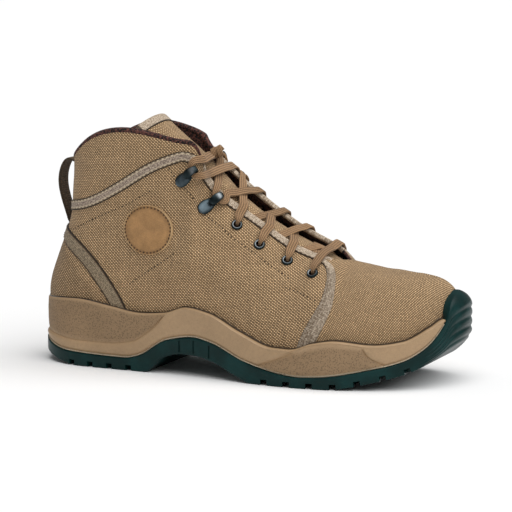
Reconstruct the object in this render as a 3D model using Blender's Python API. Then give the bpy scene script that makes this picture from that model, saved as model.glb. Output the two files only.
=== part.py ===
"""Lace-up canvas boot on a moulded sole, right foot.

Tables are in millimetres. x runs from the heel's back to the toe, y to the inner (medial) side and z up
from the floor. place() turns them into metres about the middle of the sole's outline.

A place along the shoe's rim is a station w: 0 at the heel's back, TOE_STATION at the toe's tip on the
outer (lateral) side, and on round the inner side to LOOP_STATIONS at the heel again. A place up the
upper's wall is v: 0 at the feather edge, 1 at the collar, at the throat's edge or on the vamp's ridge.
"""
import math

import bmesh
import bpy
import numpy as np
from mathutils import Vector
from mathutils.bvhtree import BVHTree

MM = 0.001

# Clearances and wall thicknesses
GAP = 0.35
CUP_GAP = 0.45
OVERLAY_GAP = 0.6
HARDWARE_GAP = 0.7
TWIST = 0.01
WALL = 2.0
COLLAR_PAD = 5.5
TAPE_THICKNESS = 1.0
BADGE_THICKNESS = 1.6
INSOLE_THICKNESS = 3.6

# Sole
FEATHER_INSET = 6.5
LIP_WIDTH = 2.2
TREAD_CHAMFER = 1.3
BUMPER_STANDOFF = 3.0
BUMPER_LEAN_FROM = 50.0
BUMPER_LEAN_SPAN = 14.0
TOE_RIB_DEPTH = 1.0
TOE_RIB_FROM_X = 284.0
WAVE_PROUD = 0.3
WAVE_RECESS = 1.3
WAVE_STEP = 0.6
RIM_SLANT = 0.3
RIM_OVER_EDGE = 3.6
PANEL_OVER_EDGE = 2.4
WAVE_FADE_X = 288.0
WAVE_FADE_SPAN = 12.0
LUG_DEPTH = 3.8
LUG_GROOVE = 4.4
ARCH_RIB_DEPTH = 1.0
ARCH_RIB_GROOVE = 2.2

# Upper: where the collar turns into the throat, and where the throat ends on the vamp
COLLAR_FRONT = 5.2
THROAT_END = 8.1
COLLAR_COLUMNS = 12
THROAT_COLUMNS = 8
VAMP_COLUMNS = 13
WALL_LEVELS = 10
SEAT_REACH = 6.0

# Round patch and hardware
BADGE_X = 93.5
BADGE_Z = 94.0
BADGE_RADIUS = 17.5
EYELET_RADIUS = 3.9
EYELET_BORE = 2.0
EYELET_BARREL = 2.6
EYELET_HOLE = 3.1
EYELET_FLANGE = 0.9
EYELET_SIDES = 8

# Lace: heights of its middle over what it crosses, and shares of the way from row to row
LACE_WIDTH = 6.5
LACE_THICKNESS = 1.3
LACE_OVER_EYELET = 2.8
LACE_OVER_EDGE = 3.8
LACE_OVER_TONGUE = 2.4
LACE_CROSS_HEIGHT = 3.4
LACE_OVERLAP = 0.5
LACE_END_INSET = 3.6
LACE_LEAVES = 0.2
LACE_DIPS = 0.75
LACE_DIPS_LOW = 0.3
LACE_HOOK_REACH = 9.2
LACE_PAIR_OFFSET = 4.6
LACE_KNOT_INSET = 8.0
KNOT_LENGTH = 10.0
KNOT_WIDTH = 8.0
KNOT_THICKNESS = 6.6
KNOT_HEIGHT = 6.0
KNOT_SIDES = 8

CANVAS = ((0.300, 0.200, 0.120), 0.85, 0.0)
WEBBING_DARK = ((0.200, 0.135, 0.080), 0.85, 0.0)
WEBBING_PALE = ((0.320, 0.250, 0.175), 0.85, 0.0)
MIDSOLE_FOAM = ((0.290, 0.195, 0.110), 0.6, 0.0)
OUTSOLE_RUBBER = ((0.012, 0.028, 0.026), 0.45, 0.0)
INSOLE_FOAM = ((0.060, 0.045, 0.032), 0.9, 0.0)
BADGE_LEATHER = ((0.310, 0.185, 0.090), 0.5, 0.0)
LOOP_WEBBING = ((0.075, 0.052, 0.033), 0.85, 0.0)
GUNMETAL = ((0.060, 0.080, 0.078), 0.3, 0.9)
LACE_BRAID = ((0.240, 0.155, 0.088), 0.8, 0.0)


def table(columns, *rows):
    """Named columns of numbers from rows."""
    return dict(zip(columns.split(), np.array(rows, dtype=float).T))


# Sole outline from above: half widths to the lateral and medial side, last row the toe's tip
OUTLINE = table(
    "x lateral medial",
    (0, 0, 0),
    (7, 20, 20),
    (25, 33, 33),
    (50, 37.5, 36),
    (85, 39.5, 34.5),
    (120, 42.5, 34),
    (155, 47.5, 38),
    (190, 52, 46),
    (220, 51.5, 51),
    (248, 45, 51),
    (272, 34, 45.5),
    (290, 19, 36.5),
    (299.5, 3, 25),
    (302, -11, 11),
)
TOE_STATION = len(OUTLINE["x"]) - 1
LOOP_STATIONS = 2 * TOE_STATION

# Collar and throat edge, from the heel's back to the throat's end
TOP_EDGE = table(
    "u x_lateral lateral z_lateral x_medial medial z_medial",
    (0.0, 20, 0, 139, 20, 0, 139),
    (1.0, 23.5, 13, 141, 23.5, 13, 141),
    (2.2, 34, 24.5, 149.5, 34, 24.5, 149.5),
    (3.05, 52, 32, 161, 52, 32, 161),
    (3.75, 76, 34.5, 164.5, 73, 34, 165),
    (4.3, 97, 33, 160.5, 92, 32.5, 161.5),
    (4.8, 114, 30, 156.5, 105, 29, 157.5),
    (5.2, 124.5, 26, 150, 112.5, 25, 151),
    (5.4, 126.5, 20.5, 137.5, 120, 20, 143.5),
    (5.65, 133.5, 16.5, 124.5, 133, 16, 132.5),
    (5.95, 146, 13.5, 114, 147.5, 14.5, 121.5),
    (6.35, 165, 12.5, 102, 166, 14, 108.5),
    (6.85, 184, 12.5, 90.5, 184, 14, 97.5),
    (7.43, 203, 12, 83, 203, 13, 89),
    (7.87, 216, 8, 80.5, 216, 10.5, 83),
    (8.1, 223, -3.5, 80, 223, 3.5, 80),
)

# Ridge of the vamp, from the throat's end to the toe
RIDGE = table(
    "u x y z",
    (8.1, 223, 3.5, 80),
    (9.0, 241, 4.5, 77),
    (10.0, 256, 6, 74),
    (11.0, 267, 8, 71.5),
    (12.0, 274.5, 9.5, 69.8),
    (13.0, 278, 10.5, 69),
)

# Wall shape: how the wall leaves the feather edge and how it reaches the top edge
WALL_SHAPE = table(
    "u rise bulge lean drop",
    (0.0, 33, 17, -7, 53),
    (1.0, 33, 16, -6.5, 52),
    (2.0, 33, 12, -5, 50),
    (3.0, 30, 8, -5, 50),
    (4.0, 32, 6, -2, 50),
    (5.0, 36, 5, 8, 38),
    (5.6, 38, 4.5, 15, 20),
    (6.0, 38, 4, 18, 14),
    (7.0, 36, 4, 19, 11),
    (8.0, 34, 4, 22, 3),
    (9.0, 32, 4, 23, 0.5),
    (10.0, 30, 3.5, 22, 0.5),
    (11.0, 28, 3, 18, 0.5),
    (12.0, 26, 2.5, 15, 0.5),
    (13.0, 25, 2, 13.5, 0.5),
)

# Heights along the sole: ground side, plate under the cup, outsole edge, cup edge and footbed
TREAD = table(
    "x z",
    (0, 8.5), (10, 5), (22, 2), (36, 0), (90, 0), (97, 5), (104, 11), (118, 14.5), (128, 14.2),
    (142, 11.5), (155, 6), (163, 2.5), (170, 0), (226, 0), (240, 2), (256, 5.6), (272, 10),
    (288, 17.5), (302, 26),
)
PLATE = table(
    "x z",
    (0, 13.5), (15, 9), (30, 6.5), (80, 6.3), (92, 8.5), (104, 16.5), (118, 19), (130, 18.7),
    (145, 15.5), (160, 9.5), (172, 5.8), (190, 5.3), (225, 5.5), (245, 8), (262, 12.2), (280, 18.5),
    (302, 30),
)
LIP = table(
    "x z",
    (0, 17), (12, 12.5), (28, 9.6), (74, 8.4), (84, 10.5), (107, 23.2), (127, 26.6), (140, 24.4),
    (166, 14.2), (193, 8), (205, 7), (221, 7.9), (250, 12.9), (272, 18.8), (280, 23.3), (287, 29.8),
    (293.4, 45), (297, 59.5), (302, 64),
)
RIM = table(
    "x z",
    (0, 43.5), (37, 46.2), (62, 43), (85, 39.8), (104, 41.3), (121, 46.2), (138, 43.7), (162, 33.2),
    (187, 25), (199, 24.8), (215, 29.6), (230, 31.7), (255, 29.6), (272, 31.7), (288, 40.7),
    (294, 45), (302, 45.6),
)
FLOOR = table(
    "x z",
    (0, 28), (60, 28), (90, 27), (115, 25), (140, 21.5), (170, 17), (195, 15), (215, 15), (235, 17),
    (256, 20.5), (276, 25), (302, 32),
)

# The raised wave on the cup's side: the heel panel starts above it, the forefoot panel ends below it
HEEL_PANEL = table(
    "x z",
    (0, 22), (40, 17.8), (60, 17.8), (78, 20), (95, 30), (104, 39), (115, 52), (302, 60),
)
FORE_PANEL = table(
    "x z",
    (0, 0), (168, 5), (176, 12), (190, 17.5), (204, 24), (214, 34), (243, 34), (252, 21.5),
    (262, 16.5), (272, 10), (302, 10),
)

# Tongue: its outer line from the throat's end to its top edge
TONGUE = table(
    "x z half_width tilt drop",
    (221.6, 73.9, 20, 0.05, 5.5),
    (203.7, 82.1, 23, 0.10, 8),
    (184.1, 91.7, 24, 0.10, 11.2),
    (164.4, 103.1, 23.5, 0.06, 14.5),
    (145.6, 116.9, 20, 0.0, 13),
    (132.4, 129.4, 19, 0.0, 8.5),
    (114.3, 145.4, 20, 0.0, 6),
    (100, 156.5, 22.5, 0.0, 7),
    (83.5, 170, 23.5, 0.0, 7.5),
)
TONGUE_THICKNESS = 4.5
TONGUE_EDGE = 2.4
TONGUE_SECTIONS = 14

# Tapes: height of the band's middle along the wall, then the facing tape's path as u and v
COLLAR_TAPE = table(
    "u z",
    (0, 107), (1, 107.5), (2, 109), (3, 114.5), (3.7, 127), (4.2, 138), (4.65, 144), (4.95, 145.5),
)
COUNTER_TAPE = table(
    "u z",
    (0, 89.5), (1, 88), (2, 83.5), (2.5, 78), (3, 66.5), (3.35, 55), (3.6, 46),
)
FACING_TAPE = table(
    "u v",
    (5.36, 0.93), (5.45, 0.955), (5.7, 0.965), (6.23, 0.965), (6.8, 0.96), (7.35, 0.95), (7.66, 0.92),
    (7.84, 0.84), (7.95, 0.73), (7.95, 0.60), (7.86, 0.44), (7.7, 0.28), (7.58, 0.17),
)
COLLAR_TAPE_WIDTH = 7.0
COUNTER_TAPE_WIDTH = 7.0
FACING_TAPE_WIDTH = 5.6
FACING_SAMPLES = 25

# Loop at the heel: its middle line from the collar's edge down to the counter
LOOP = table(
    "x z",
    (19.2, 137.0), (13.0, 138.2), (8.7, 133.5), (6.5, 126), (7.0, 117), (10.0, 107), (13.0, 99),
    (14.2, 95.8),
)
LOOP_WIDTH = 13.0
LOOP_THICKNESS = 1.6

# Eyelets and hooks of each side, from the collar down
EYELETS = {
    "lateral": table("x z", (150.4, 101), (167.5, 89), (187.3, 79.5), (206.7, 72.5)),
    "medial": table("x z", (150.4, 108), (167.5, 96), (187.3, 86.5), (206.7, 78)),
}
HOOKS = {
    "lateral": table("x z tip_x tip_z", (116.5, 131.5, 123.5, 138), (130, 113, 137, 120)),
    "medial": table("x z tip_x tip_z", (110, 135, 117, 142), (126, 121, 133.5, 128.5)),
}
HOOK = table(
    "along high width",
    (-6.6, 0.9, 3.4), (-5.6, 0.9, 5.8), (-3.0, 0.9, 7.4), (0.5, 0.9, 7.2), (3.5, 0.9, 6.0),
    (5.4, 1.7, 5.4), (6.1, 3.2, 5.2), (5.4, 4.7, 5.2), (3.5, 5.4, 5.6), (0.5, 5.2, 5.4), (-1.5, 4.8, 3.6),
)
HOOK_STEEL = 1.0


def smoothstep(t):
    t = np.clip(t, 0.0, 1.0)
    return t * t * (3.0 - 2.0 * t)


def free_spline(knots, values):
    """Cubic spline with free ends through rows of values."""
    knots = np.asarray(knots, dtype=float)
    values = np.asarray(values, dtype=float)
    step = np.diff(knots)
    count = len(knots)
    matrix = np.eye(count)
    right = np.zeros_like(values)
    for i in range(1, count - 1):
        matrix[i, i - 1:i + 2] = step[i - 1], 2 * (step[i - 1] + step[i]), step[i]
        right[i] = 6 * ((values[i + 1] - values[i]) / step[i] - (values[i] - values[i - 1]) / step[i - 1])
    bend = np.linalg.solve(matrix, right)

    def at(t):
        t = np.asarray(t, dtype=float)
        i = np.clip(np.searchsorted(knots, t, side="right") - 1, 0, count - 2)
        h = step[i]
        a = (knots[i + 1] - t) / h
        b = (t - knots[i]) / h
        if values.ndim > 1:
            h, a, b = h[..., None], a[..., None], b[..., None]
        curve = a * values[i] + b * values[i + 1]
        return curve + ((a ** 3 - a) * bend[i] + (b ** 3 - b) * bend[i + 1]) * h ** 2 / 6

    return at


def steady_curve(rows):
    """Curve of z over x that never swings past its rows, so flat stretches stay flat."""
    x = rows["x"]
    z = rows["z"]
    step = np.diff(x)
    grade = np.diff(z) / step
    slope = np.zeros(len(x))
    for i in range(1, len(x) - 1):
        if grade[i - 1] * grade[i] > 0:
            before = 2 * step[i] + step[i - 1]
            after = step[i] + 2 * step[i - 1]
            slope[i] = (before + after) / (before / grade[i - 1] + after / grade[i])
    slope[0] = grade[0]
    slope[-1] = grade[-1]

    def at(t):
        t = np.clip(np.asarray(t, dtype=float), x[0], x[-1])
        i = np.clip(np.searchsorted(x, t, side="right") - 1, 0, len(x) - 2)
        h = step[i]
        s = (t - x[i]) / h
        low = z[i] * (1 + 2 * s) * (1 - s) ** 2 + slope[i] * h * s * (1 - s) ** 2
        high = z[i + 1] * s * s * (3 - 2 * s) + slope[i + 1] * h * s * s * (s - 1)
        return low + high

    return at


tread_height = steady_curve(TREAD)
plate_height = steady_curve(PLATE)
lip_height = steady_curve(LIP)
rim_height = steady_curve(RIM)
floor_height = steady_curve(FLOOR)
heel_panel_height = steady_curve(HEEL_PANEL)
fore_panel_height = steady_curve(FORE_PANEL)


def outline_slopes():
    """Rim points of the sole in loop order, with the slopes of the closed cubic through them."""
    lateral = np.column_stack((OUTLINE["x"], -OUTLINE["lateral"]))
    medial = np.column_stack((OUTLINE["x"], OUTLINE["medial"]))
    points = np.vstack((lateral, medial[-2:0:-1]))
    count = len(points)
    matrix = 4 * np.eye(count) + np.roll(np.eye(count), 1, axis=0) + np.roll(np.eye(count), -1, axis=0)
    right = 3 * (np.roll(points, -1, axis=0) - np.roll(points, 1, axis=0))
    return points, np.linalg.solve(matrix, right)


RIM_POINTS, RIM_SLOPES = outline_slopes()


def outline(w):
    """Point of the sole's outline at station w, and the outward direction there."""
    w = np.mod(np.asarray(w, dtype=float), LOOP_STATIONS)
    i = np.floor(w).astype(int) % LOOP_STATIONS
    j = (i + 1) % LOOP_STATIONS
    s = (w - np.floor(w))[..., None]
    p, q, a, b = RIM_POINTS[i], RIM_POINTS[j], RIM_SLOPES[i], RIM_SLOPES[j]
    spot = p + a * s + (3 * (q - p) - 2 * a - b) * s ** 2 + (2 * (p - q) + a + b) * s ** 3
    along = a + 2 * (3 * (q - p) - 2 * a - b) * s + 3 * (2 * (p - q) + a + b) * s ** 2
    out = np.stack((along[..., 1], -along[..., 0]), axis=-1)
    return spot, out / np.linalg.norm(out, axis=-1, keepdims=True)


def mirrored(u, values, signs, at_toe):
    """Rows carried on past the heel, and past the toe if wanted, so curves run straight across."""
    u = np.concatenate((-u[2:0:-1], u))
    values = np.vstack((values[2:0:-1] * signs, values))
    if at_toe:
        u = np.concatenate((u, 2 * TOE_STATION - u[-2:-4:-1]))
        values = np.vstack((values, values[-2:-4:-1]))
    return u, values


def edge_spline(side):
    """Collar and throat edge of one side."""
    sign = -1.0 if side == "lateral" else 1.0
    rows = np.column_stack((TOP_EDGE["x_" + side], sign * TOP_EDGE[side], TOP_EDGE["z_" + side]))
    return free_spline(*mirrored(TOP_EDGE["u"], rows, np.array((1.0, -1.0, 1.0)), False))


EDGE_LATERAL = edge_spline("lateral")
EDGE_MEDIAL = edge_spline("medial")
RIDGE_ROWS = np.column_stack((RIDGE["x"], RIDGE["y"], RIDGE["z"]))
RIDGE_LINE = free_spline(
    np.concatenate((RIDGE["u"], 2 * TOE_STATION - RIDGE["u"][-2:-4:-1])),
    np.vstack((RIDGE_ROWS, RIDGE_ROWS[-2:-4:-1])),
)
SHAPE_ROWS = np.column_stack([WALL_SHAPE[name] for name in ("rise", "bulge", "lean", "drop")])
SHAPE_LINE = free_spline(*mirrored(WALL_SHAPE["u"], SHAPE_ROWS, np.ones(4), True))


def fold(w):
    """Station counted from the heel on either side, and which stations are medial."""
    w = np.mod(np.asarray(w, dtype=float), LOOP_STATIONS)
    medial = w > TOE_STATION
    return np.where(medial, LOOP_STATIONS - w, w), medial


def top_point(w):
    """Upper end of the wall: collar, throat edge or ridge."""
    u, medial = fold(w)
    edge = np.where(medial[..., None], EDGE_MEDIAL(u), EDGE_LATERAL(u))
    return np.where((u < THROAT_END)[..., None], edge, RIDGE_LINE(u))


def upper_point(w, v):
    """Outer surface of the upper."""
    w, v = np.broadcast_arrays(np.asarray(w, dtype=float), np.asarray(v, dtype=float))
    u, medial = fold(w)
    spot, out = outline(w)
    foot_xy = spot - out * FEATHER_INSET
    foot = np.concatenate((foot_xy, (floor_height(foot_xy[..., 0]) + CUP_GAP)[..., None]), axis=-1)
    top = top_point(w)
    rise, bulge, lean, drop = np.moveaxis(SHAPE_LINE(u), -1, 0)
    out3 = np.concatenate((out, np.zeros_like(out[..., :1])), axis=-1)
    up = np.array((0.0, 0.0, 1.0))
    low = foot + out3 * bulge[..., None] + up * rise[..., None]
    high = top + out3 * lean[..., None] - up * drop[..., None]
    t = v[..., None]
    s = 1.0 - t
    return foot * s ** 3 + low * 3 * s * s * t + high * 3 * s * t * t + top * t ** 3


def upper_slopes(w, v):
    """Directions along the rim and up the wall at a point of the upper."""
    v = np.clip(np.asarray(v, dtype=float), 0.004, 0.994)
    step = 0.003
    along = (upper_point(w + step, v) - upper_point(w - step, v)) / (2 * step)
    up = (upper_point(w, v + step) - upper_point(w, v - step)) / (2 * step)
    return along, up


def unit(vectors):
    return vectors / np.linalg.norm(vectors, axis=-1, keepdims=True)


def upper_normal(w, v):
    along, up = upper_slopes(w, v)
    return unit(np.cross(along, up))


def level_at(w, z):
    """Place v up the wall that lies at height z."""
    w, z = np.broadcast_arrays(np.asarray(w, dtype=float), np.asarray(z, dtype=float))
    low = np.zeros_like(w)
    high = np.full_like(w, 0.98)
    for _ in range(40):
        middle = (low + high) / 2
        below = upper_point(w, middle)[..., 2] < z
        low = np.where(below, middle, low)
        high = np.where(below, high, middle)
    return (low + high) / 2


def find_on_upper(x, z, medial=False):
    """Station and level of the wall's point with a given x and z."""
    x, z = np.broadcast_arrays(np.asarray(x, dtype=float), np.asarray(z, dtype=float))
    u = np.interp(x, OUTLINE["x"], np.arange(TOE_STATION + 1))
    w = LOOP_STATIONS - u if medial else u
    v = level_at(w, z)
    for _ in range(12):
        miss = np.stack((x, z), axis=-1) - upper_point(w, v)[..., (0, 2)]
        along, up = upper_slopes(w, v)
        jacobian = np.stack((along[..., (0, 2)], up[..., (0, 2)]), axis=-1)
        step = np.linalg.solve(jacobian, miss[..., None])[..., 0]
        w = w + np.clip(step[..., 0], -0.3, 0.3)
        v = np.clip(v + np.clip(step[..., 1], -0.1, 0.1), 0.01, 0.99)
    return w, v


def step_on_upper(w, v, direction, distance):
    """Station and level a short way along the surface in a direction."""
    along, up = upper_slopes(w, v)
    basis = np.stack((along, up), axis=-1)
    normal_form = np.swapaxes(basis, -1, -2) @ basis
    wanted = np.swapaxes(basis, -1, -2) @ (direction * np.asarray(distance)[..., None])[..., None]
    move = np.linalg.solve(normal_form, wanted)[..., 0]
    return w + move[..., 0], np.clip(v + move[..., 1], 0.0, 1.0)


def wall_thickness(w, v):
    """Canvas wall, padded above the ankle tape."""
    u, _ = fold(w)
    padded = smoothstep((COLLAR_FRONT + 0.2 - u) / 0.7) * smoothstep((v - 0.5) / 0.22)
    rolled = 1.0 - 0.3 * smoothstep((v - 0.85) / 0.15)
    return WALL + (COLLAR_PAD * rolled - WALL) * padded


def seat(w, v, height):
    """Point a height above the upper's facets, found along the normal."""
    spots = np.atleast_2d(upper_point(w, v))
    normals = np.atleast_2d(upper_normal(w, v))
    seated = []
    for spot, normal, lift in zip(spots, normals, np.broadcast_to(height, len(spots))):
        start = spot + normal * SEAT_REACH
        hit, _, _, _ = UPPER_SKIN[0].ray_cast(Vector(start), Vector(-normal), 1.5 * SEAT_REACH)
        base = spot if hit is None else np.array(hit)
        seated.append(base + normal * lift)
    return np.array(seated) if np.ndim(w) else seated[0]


def side_stations():
    collar = np.linspace(0.0, COLLAR_FRONT, COLLAR_COLUMNS + 1)
    throat = np.linspace(COLLAR_FRONT, THROAT_END, THROAT_COLUMNS + 1)
    vamp = np.linspace(THROAT_END, TOE_STATION, VAMP_COLUMNS + 1)
    return np.concatenate((collar, throat[1:], vamp[1:]))


SIDE = side_stations()
STATIONS = np.concatenate((SIDE, LOOP_STATIONS - SIDE[-2:0:-1]))
COLUMNS = len(STATIONS)
TOE_COLUMN = len(SIDE) - 1
THROAT_END_COLUMN = COLLAR_COLUMNS + THROAT_COLUMNS


def mirror_column(column):
    return (COLUMNS - column) % COLUMNS


ORIGIN_X = (OUTLINE["x"][0] + OUTLINE["x"][-1]) / 2
RIM_TRACE = outline(np.linspace(0, LOOP_STATIONS, 521))[0]
ORIGIN_Y = (RIM_TRACE[:, 1].min() + RIM_TRACE[:, 1].max()) / 2


def place(points):
    """Millimetres in the shoe's tables to metres about the middle of the outline."""
    return (np.asarray(points, dtype=float) - np.array((ORIGIN_X, ORIGIN_Y, 0.0))) * MM


def make_material(name, finish):
    colour, roughness, metallic = finish
    material = bpy.data.materials.new(name)
    material.use_nodes = True
    shader = material.node_tree.nodes["Principled BSDF"]
    shader.inputs["Base Color"].default_value = (*colour, 1.0)
    shader.inputs["Roughness"].default_value = roughness
    shader.inputs["Metallic"].default_value = metallic
    return material


def is_twisted(face):
    """Whether a face's corners lie off one plane."""
    middle = face.calc_center_median()
    return max(abs((corner.co - middle).dot(face.normal)) for corner in face.verts) > TWIST * MM


def make_object(name, points, faces, finish=None):
    """Closed mesh object from points in millimetres, faces turned outwards and twisted ones split."""
    mesh = bpy.data.meshes.new(name)
    mesh.from_pydata([tuple(p) for p in place(points)], [], [tuple(int(i) for i in f) for f in faces])
    form = bmesh.new()
    form.from_mesh(mesh)
    bmesh.ops.recalc_face_normals(form, faces=form.faces)
    twisted = [face for face in form.faces if is_twisted(face)]
    bmesh.ops.triangulate(form, faces=twisted, quad_method="SHORT_EDGE", ngon_method="BEAUTY")
    form.to_mesh(mesh)
    form.free()
    mesh.shade_smooth()
    mesh.set_sharp_from_angle(angle=math.radians(35))
    item = bpy.data.objects.new(name, mesh)
    bpy.context.scene.collection.objects.link(item)
    if finish is None:
        item.hide_render = True
        item.display_type = "WIRE"
    else:
        mesh.materials.append(make_material(name, finish))
    return item


def use_boolean(item, tool, operation):
    modifier = item.modifiers.new(tool.name, "BOOLEAN")
    modifier.operation = operation
    modifier.object = tool
    modifier.solver = "EXACT"


def ring_quads(lower, upper, closed=True):
    """Faces between two rows of point numbers."""
    count = len(lower)
    last = count if closed else count - 1
    return [(lower[i], lower[(i + 1) % count], upper[(i + 1) % count], upper[i]) for i in range(last)]


def ladder(row):
    """Faces across a closed loop of columns, rung by rung from heel to toe."""
    faces = [(row[0], row[1], row[COLUMNS - 1])]
    for i in range(1, TOE_COLUMN - 1):
        faces.append((row[i], row[i + 1], row[COLUMNS - i - 1], row[COLUMNS - i]))
    i = TOE_COLUMN - 1
    faces.append((row[i], row[i + 1], row[COLUMNS - i]))
    return faces


def loops_to_solid(loops):
    """Points and faces of a solid whose skin runs through closed loops, ladders closing both ends."""
    rows = [np.arange(COLUMNS) + COLUMNS * k for k in range(len(loops))]
    faces = ladder(rows[0])
    for lower, upper in zip(rows, rows[1:]):
        faces += ring_quads(lower, upper)
    faces += ladder(rows[-1])
    return np.vstack(loops), faces


def sole_side(z, inset):
    """Side of the sole at height z, set in from the outline, leaning on the upper high up at the toe."""
    spot, out = outline(STATIONS)
    straight = spot - out * np.asarray(inset)[..., None]
    wall = upper_point(STATIONS, level_at(STATIONS, z))[:, :2]
    leaning = wall + out * (BUMPER_STANDOFF - np.asarray(inset))[..., None]
    share = smoothstep((z - BUMPER_LEAN_FROM) / BUMPER_LEAN_SPAN)[:, None]
    return np.column_stack((straight + (leaning - straight) * share, z))


def cup_inside(z):
    """Inner side of the cup, just clear of the upper."""
    wall = upper_point(STATIONS, level_at(STATIONS, z))
    _, out = outline(STATIONS)
    return np.column_stack((wall[:, :2] + out * CUP_GAP, z))


STATION_X = outline(STATIONS)[0][:, 0]


# Levels up the outsole's side as shares of its height, and whether the toe has a rib groove there
OUTSOLE_SIDE_LEVELS = ((0.20, 0), (0.28, 1), (0.36, 0), (0.70, 0), (1.0, 0))
OUTSOLE_LIP_LEVELS = (1.0, 0.6, 0.0)


def make_outsole():
    """Tread plate with its side lip and toe bumper, grooved into lugs."""
    tread = tread_height(STATION_X)
    lip = lip_height(STATION_X)
    plate = plate_height(STATION_X)
    at_toe = smoothstep((STATION_X - TOE_RIB_FROM_X) / 8.0)
    loops = [sole_side(tread, np.full(COLUMNS, TREAD_CHAMFER))]
    for share, ribbed in OUTSOLE_SIDE_LEVELS:
        loops.append(sole_side(tread + (lip - tread) * share, TOE_RIB_DEPTH * ribbed * at_toe))
    for share in OUTSOLE_LIP_LEVELS:
        loops.append(sole_side(plate + (lip - plate) * share, np.full(COLUMNS, LIP_WIDTH)))
    sole = make_object("outsole", *loops_to_solid(loops), OUTSOLE_RUBBER)
    for tool in groove_tools():
        use_boolean(sole, tool, "DIFFERENCE")


def box_points(middle, along, across, up, size):
    """Corners of a turned box."""
    corners = []
    for a in (-0.5, 0.5):
        for b in (-0.5, 0.5):
            for c in (-0.5, 0.5):
                corners.append(middle + along * a * size[0] + across * b * size[1] + up * c * size[2])
    return corners


BOX_FACES = ((0, 1, 3, 2), (4, 6, 7, 5), (0, 4, 5, 1), (2, 3, 7, 6), (0, 2, 6, 4), (1, 5, 7, 3))


def boxes_object(name, boxes):
    points = []
    faces = []
    for corners in boxes:
        start = len(points)
        points += corners
        faces += [tuple(start + i for i in face) for face in BOX_FACES]
    return make_object(name, np.array(points), faces)


def half_width(x, side):
    return np.interp(x, OUTLINE["x"], OUTLINE[side])


def tread_box(x, y_from, y_to, turn, width=LUG_GROOVE):
    """Groove cutter across the tread at x, from one y to another, turned in plan by an angle."""
    slope = (tread_height(x + 2) - tread_height(x - 2)) / 4
    pitch = math.atan(slope)
    across = np.array((-math.sin(turn), math.cos(turn), 0.0))
    along = np.array((math.cos(turn) * math.cos(pitch), math.sin(turn), math.sin(pitch)))
    along = unit(along - across * np.dot(along, across))
    up = np.cross(along, across)
    depth = 2 * LUG_DEPTH
    middle = np.array((x, (y_from + y_to) / 2, float(tread_height(x))))
    return box_points(middle, along, across, up, (width, abs(y_to - y_from), depth))


FORE_LUGS_X = (180, 196, 212, 228, 244, 260, 275)
HEEL_LUGS_X = (33, 48, 63, 78)
FORE_MIDDLE_X = (185, 200, 215, 230)
HEEL_MIDDLE_X = (48, 66)
ARCH_RIBS_X = (105, 111, 117, 123)
SIDE_LUG_INNER = 0.52
LUG_RUN_OUT = 14.0
LUG_TURN = 0.28


def groove_tools():
    """Cutters for side grooves, the two long grooves, the middle grooves and the ribs of the arch."""
    side_boxes = []
    for x in FORE_LUGS_X + HEEL_LUGS_X:
        turn = LUG_TURN if x > 150 else -LUG_TURN
        for side, sign in (("lateral", -1), ("medial", 1)):
            reach = half_width(x, side)
            inner = sign * SIDE_LUG_INNER * reach
            side_boxes.append(tread_box(x, inner, sign * (reach + LUG_RUN_OUT), -sign * turn))
    long_boxes = []
    for start, end, y_start, y_end in (
        (172, 250, -23, -19), (172, 250, 20, 25), (38, 92, -17, -18), (38, 92, 17, 16),
    ):
        along = unit(np.array((end - start, y_end - y_start, 0.0)))
        across = np.array((-along[1], along[0], 0.0))
        middle = np.array(((start + end) / 2, (y_start + y_end) / 2, 0.0))
        size = (end - start, LUG_GROOVE * 0.8, 2 * LUG_DEPTH)
        long_boxes.append(box_points(middle, along, across, np.array((0.0, 0.0, 1.0)), size))
    middle_boxes = [tread_box(x, -19, 19, 0.0) for x in FORE_MIDDLE_X]
    middle_boxes += [tread_box(x, -15, 15, 0.0) for x in HEEL_MIDDLE_X]
    rib_boxes = []
    for x in ARCH_RIBS_X:
        for side, sign in (("lateral", -1), ("medial", 1)):
            y = sign * half_width(x, side)
            z = (tread_height(x) + lip_height(x)) / 2
            size = (ARCH_RIB_GROOVE, 2 * ARCH_RIB_DEPTH, 0.7 * (lip_height(x) - tread_height(x)))
            rib_boxes.append(box_points(np.array((x, y, float(z))), *np.eye(3), size))
    return (
        boxes_object("cut_side_grooves", side_boxes),
        boxes_object("cut_long_grooves", long_boxes),
        boxes_object("cut_middle_grooves", middle_boxes),
        boxes_object("cut_arch_ribs", rib_boxes),
    )


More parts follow.
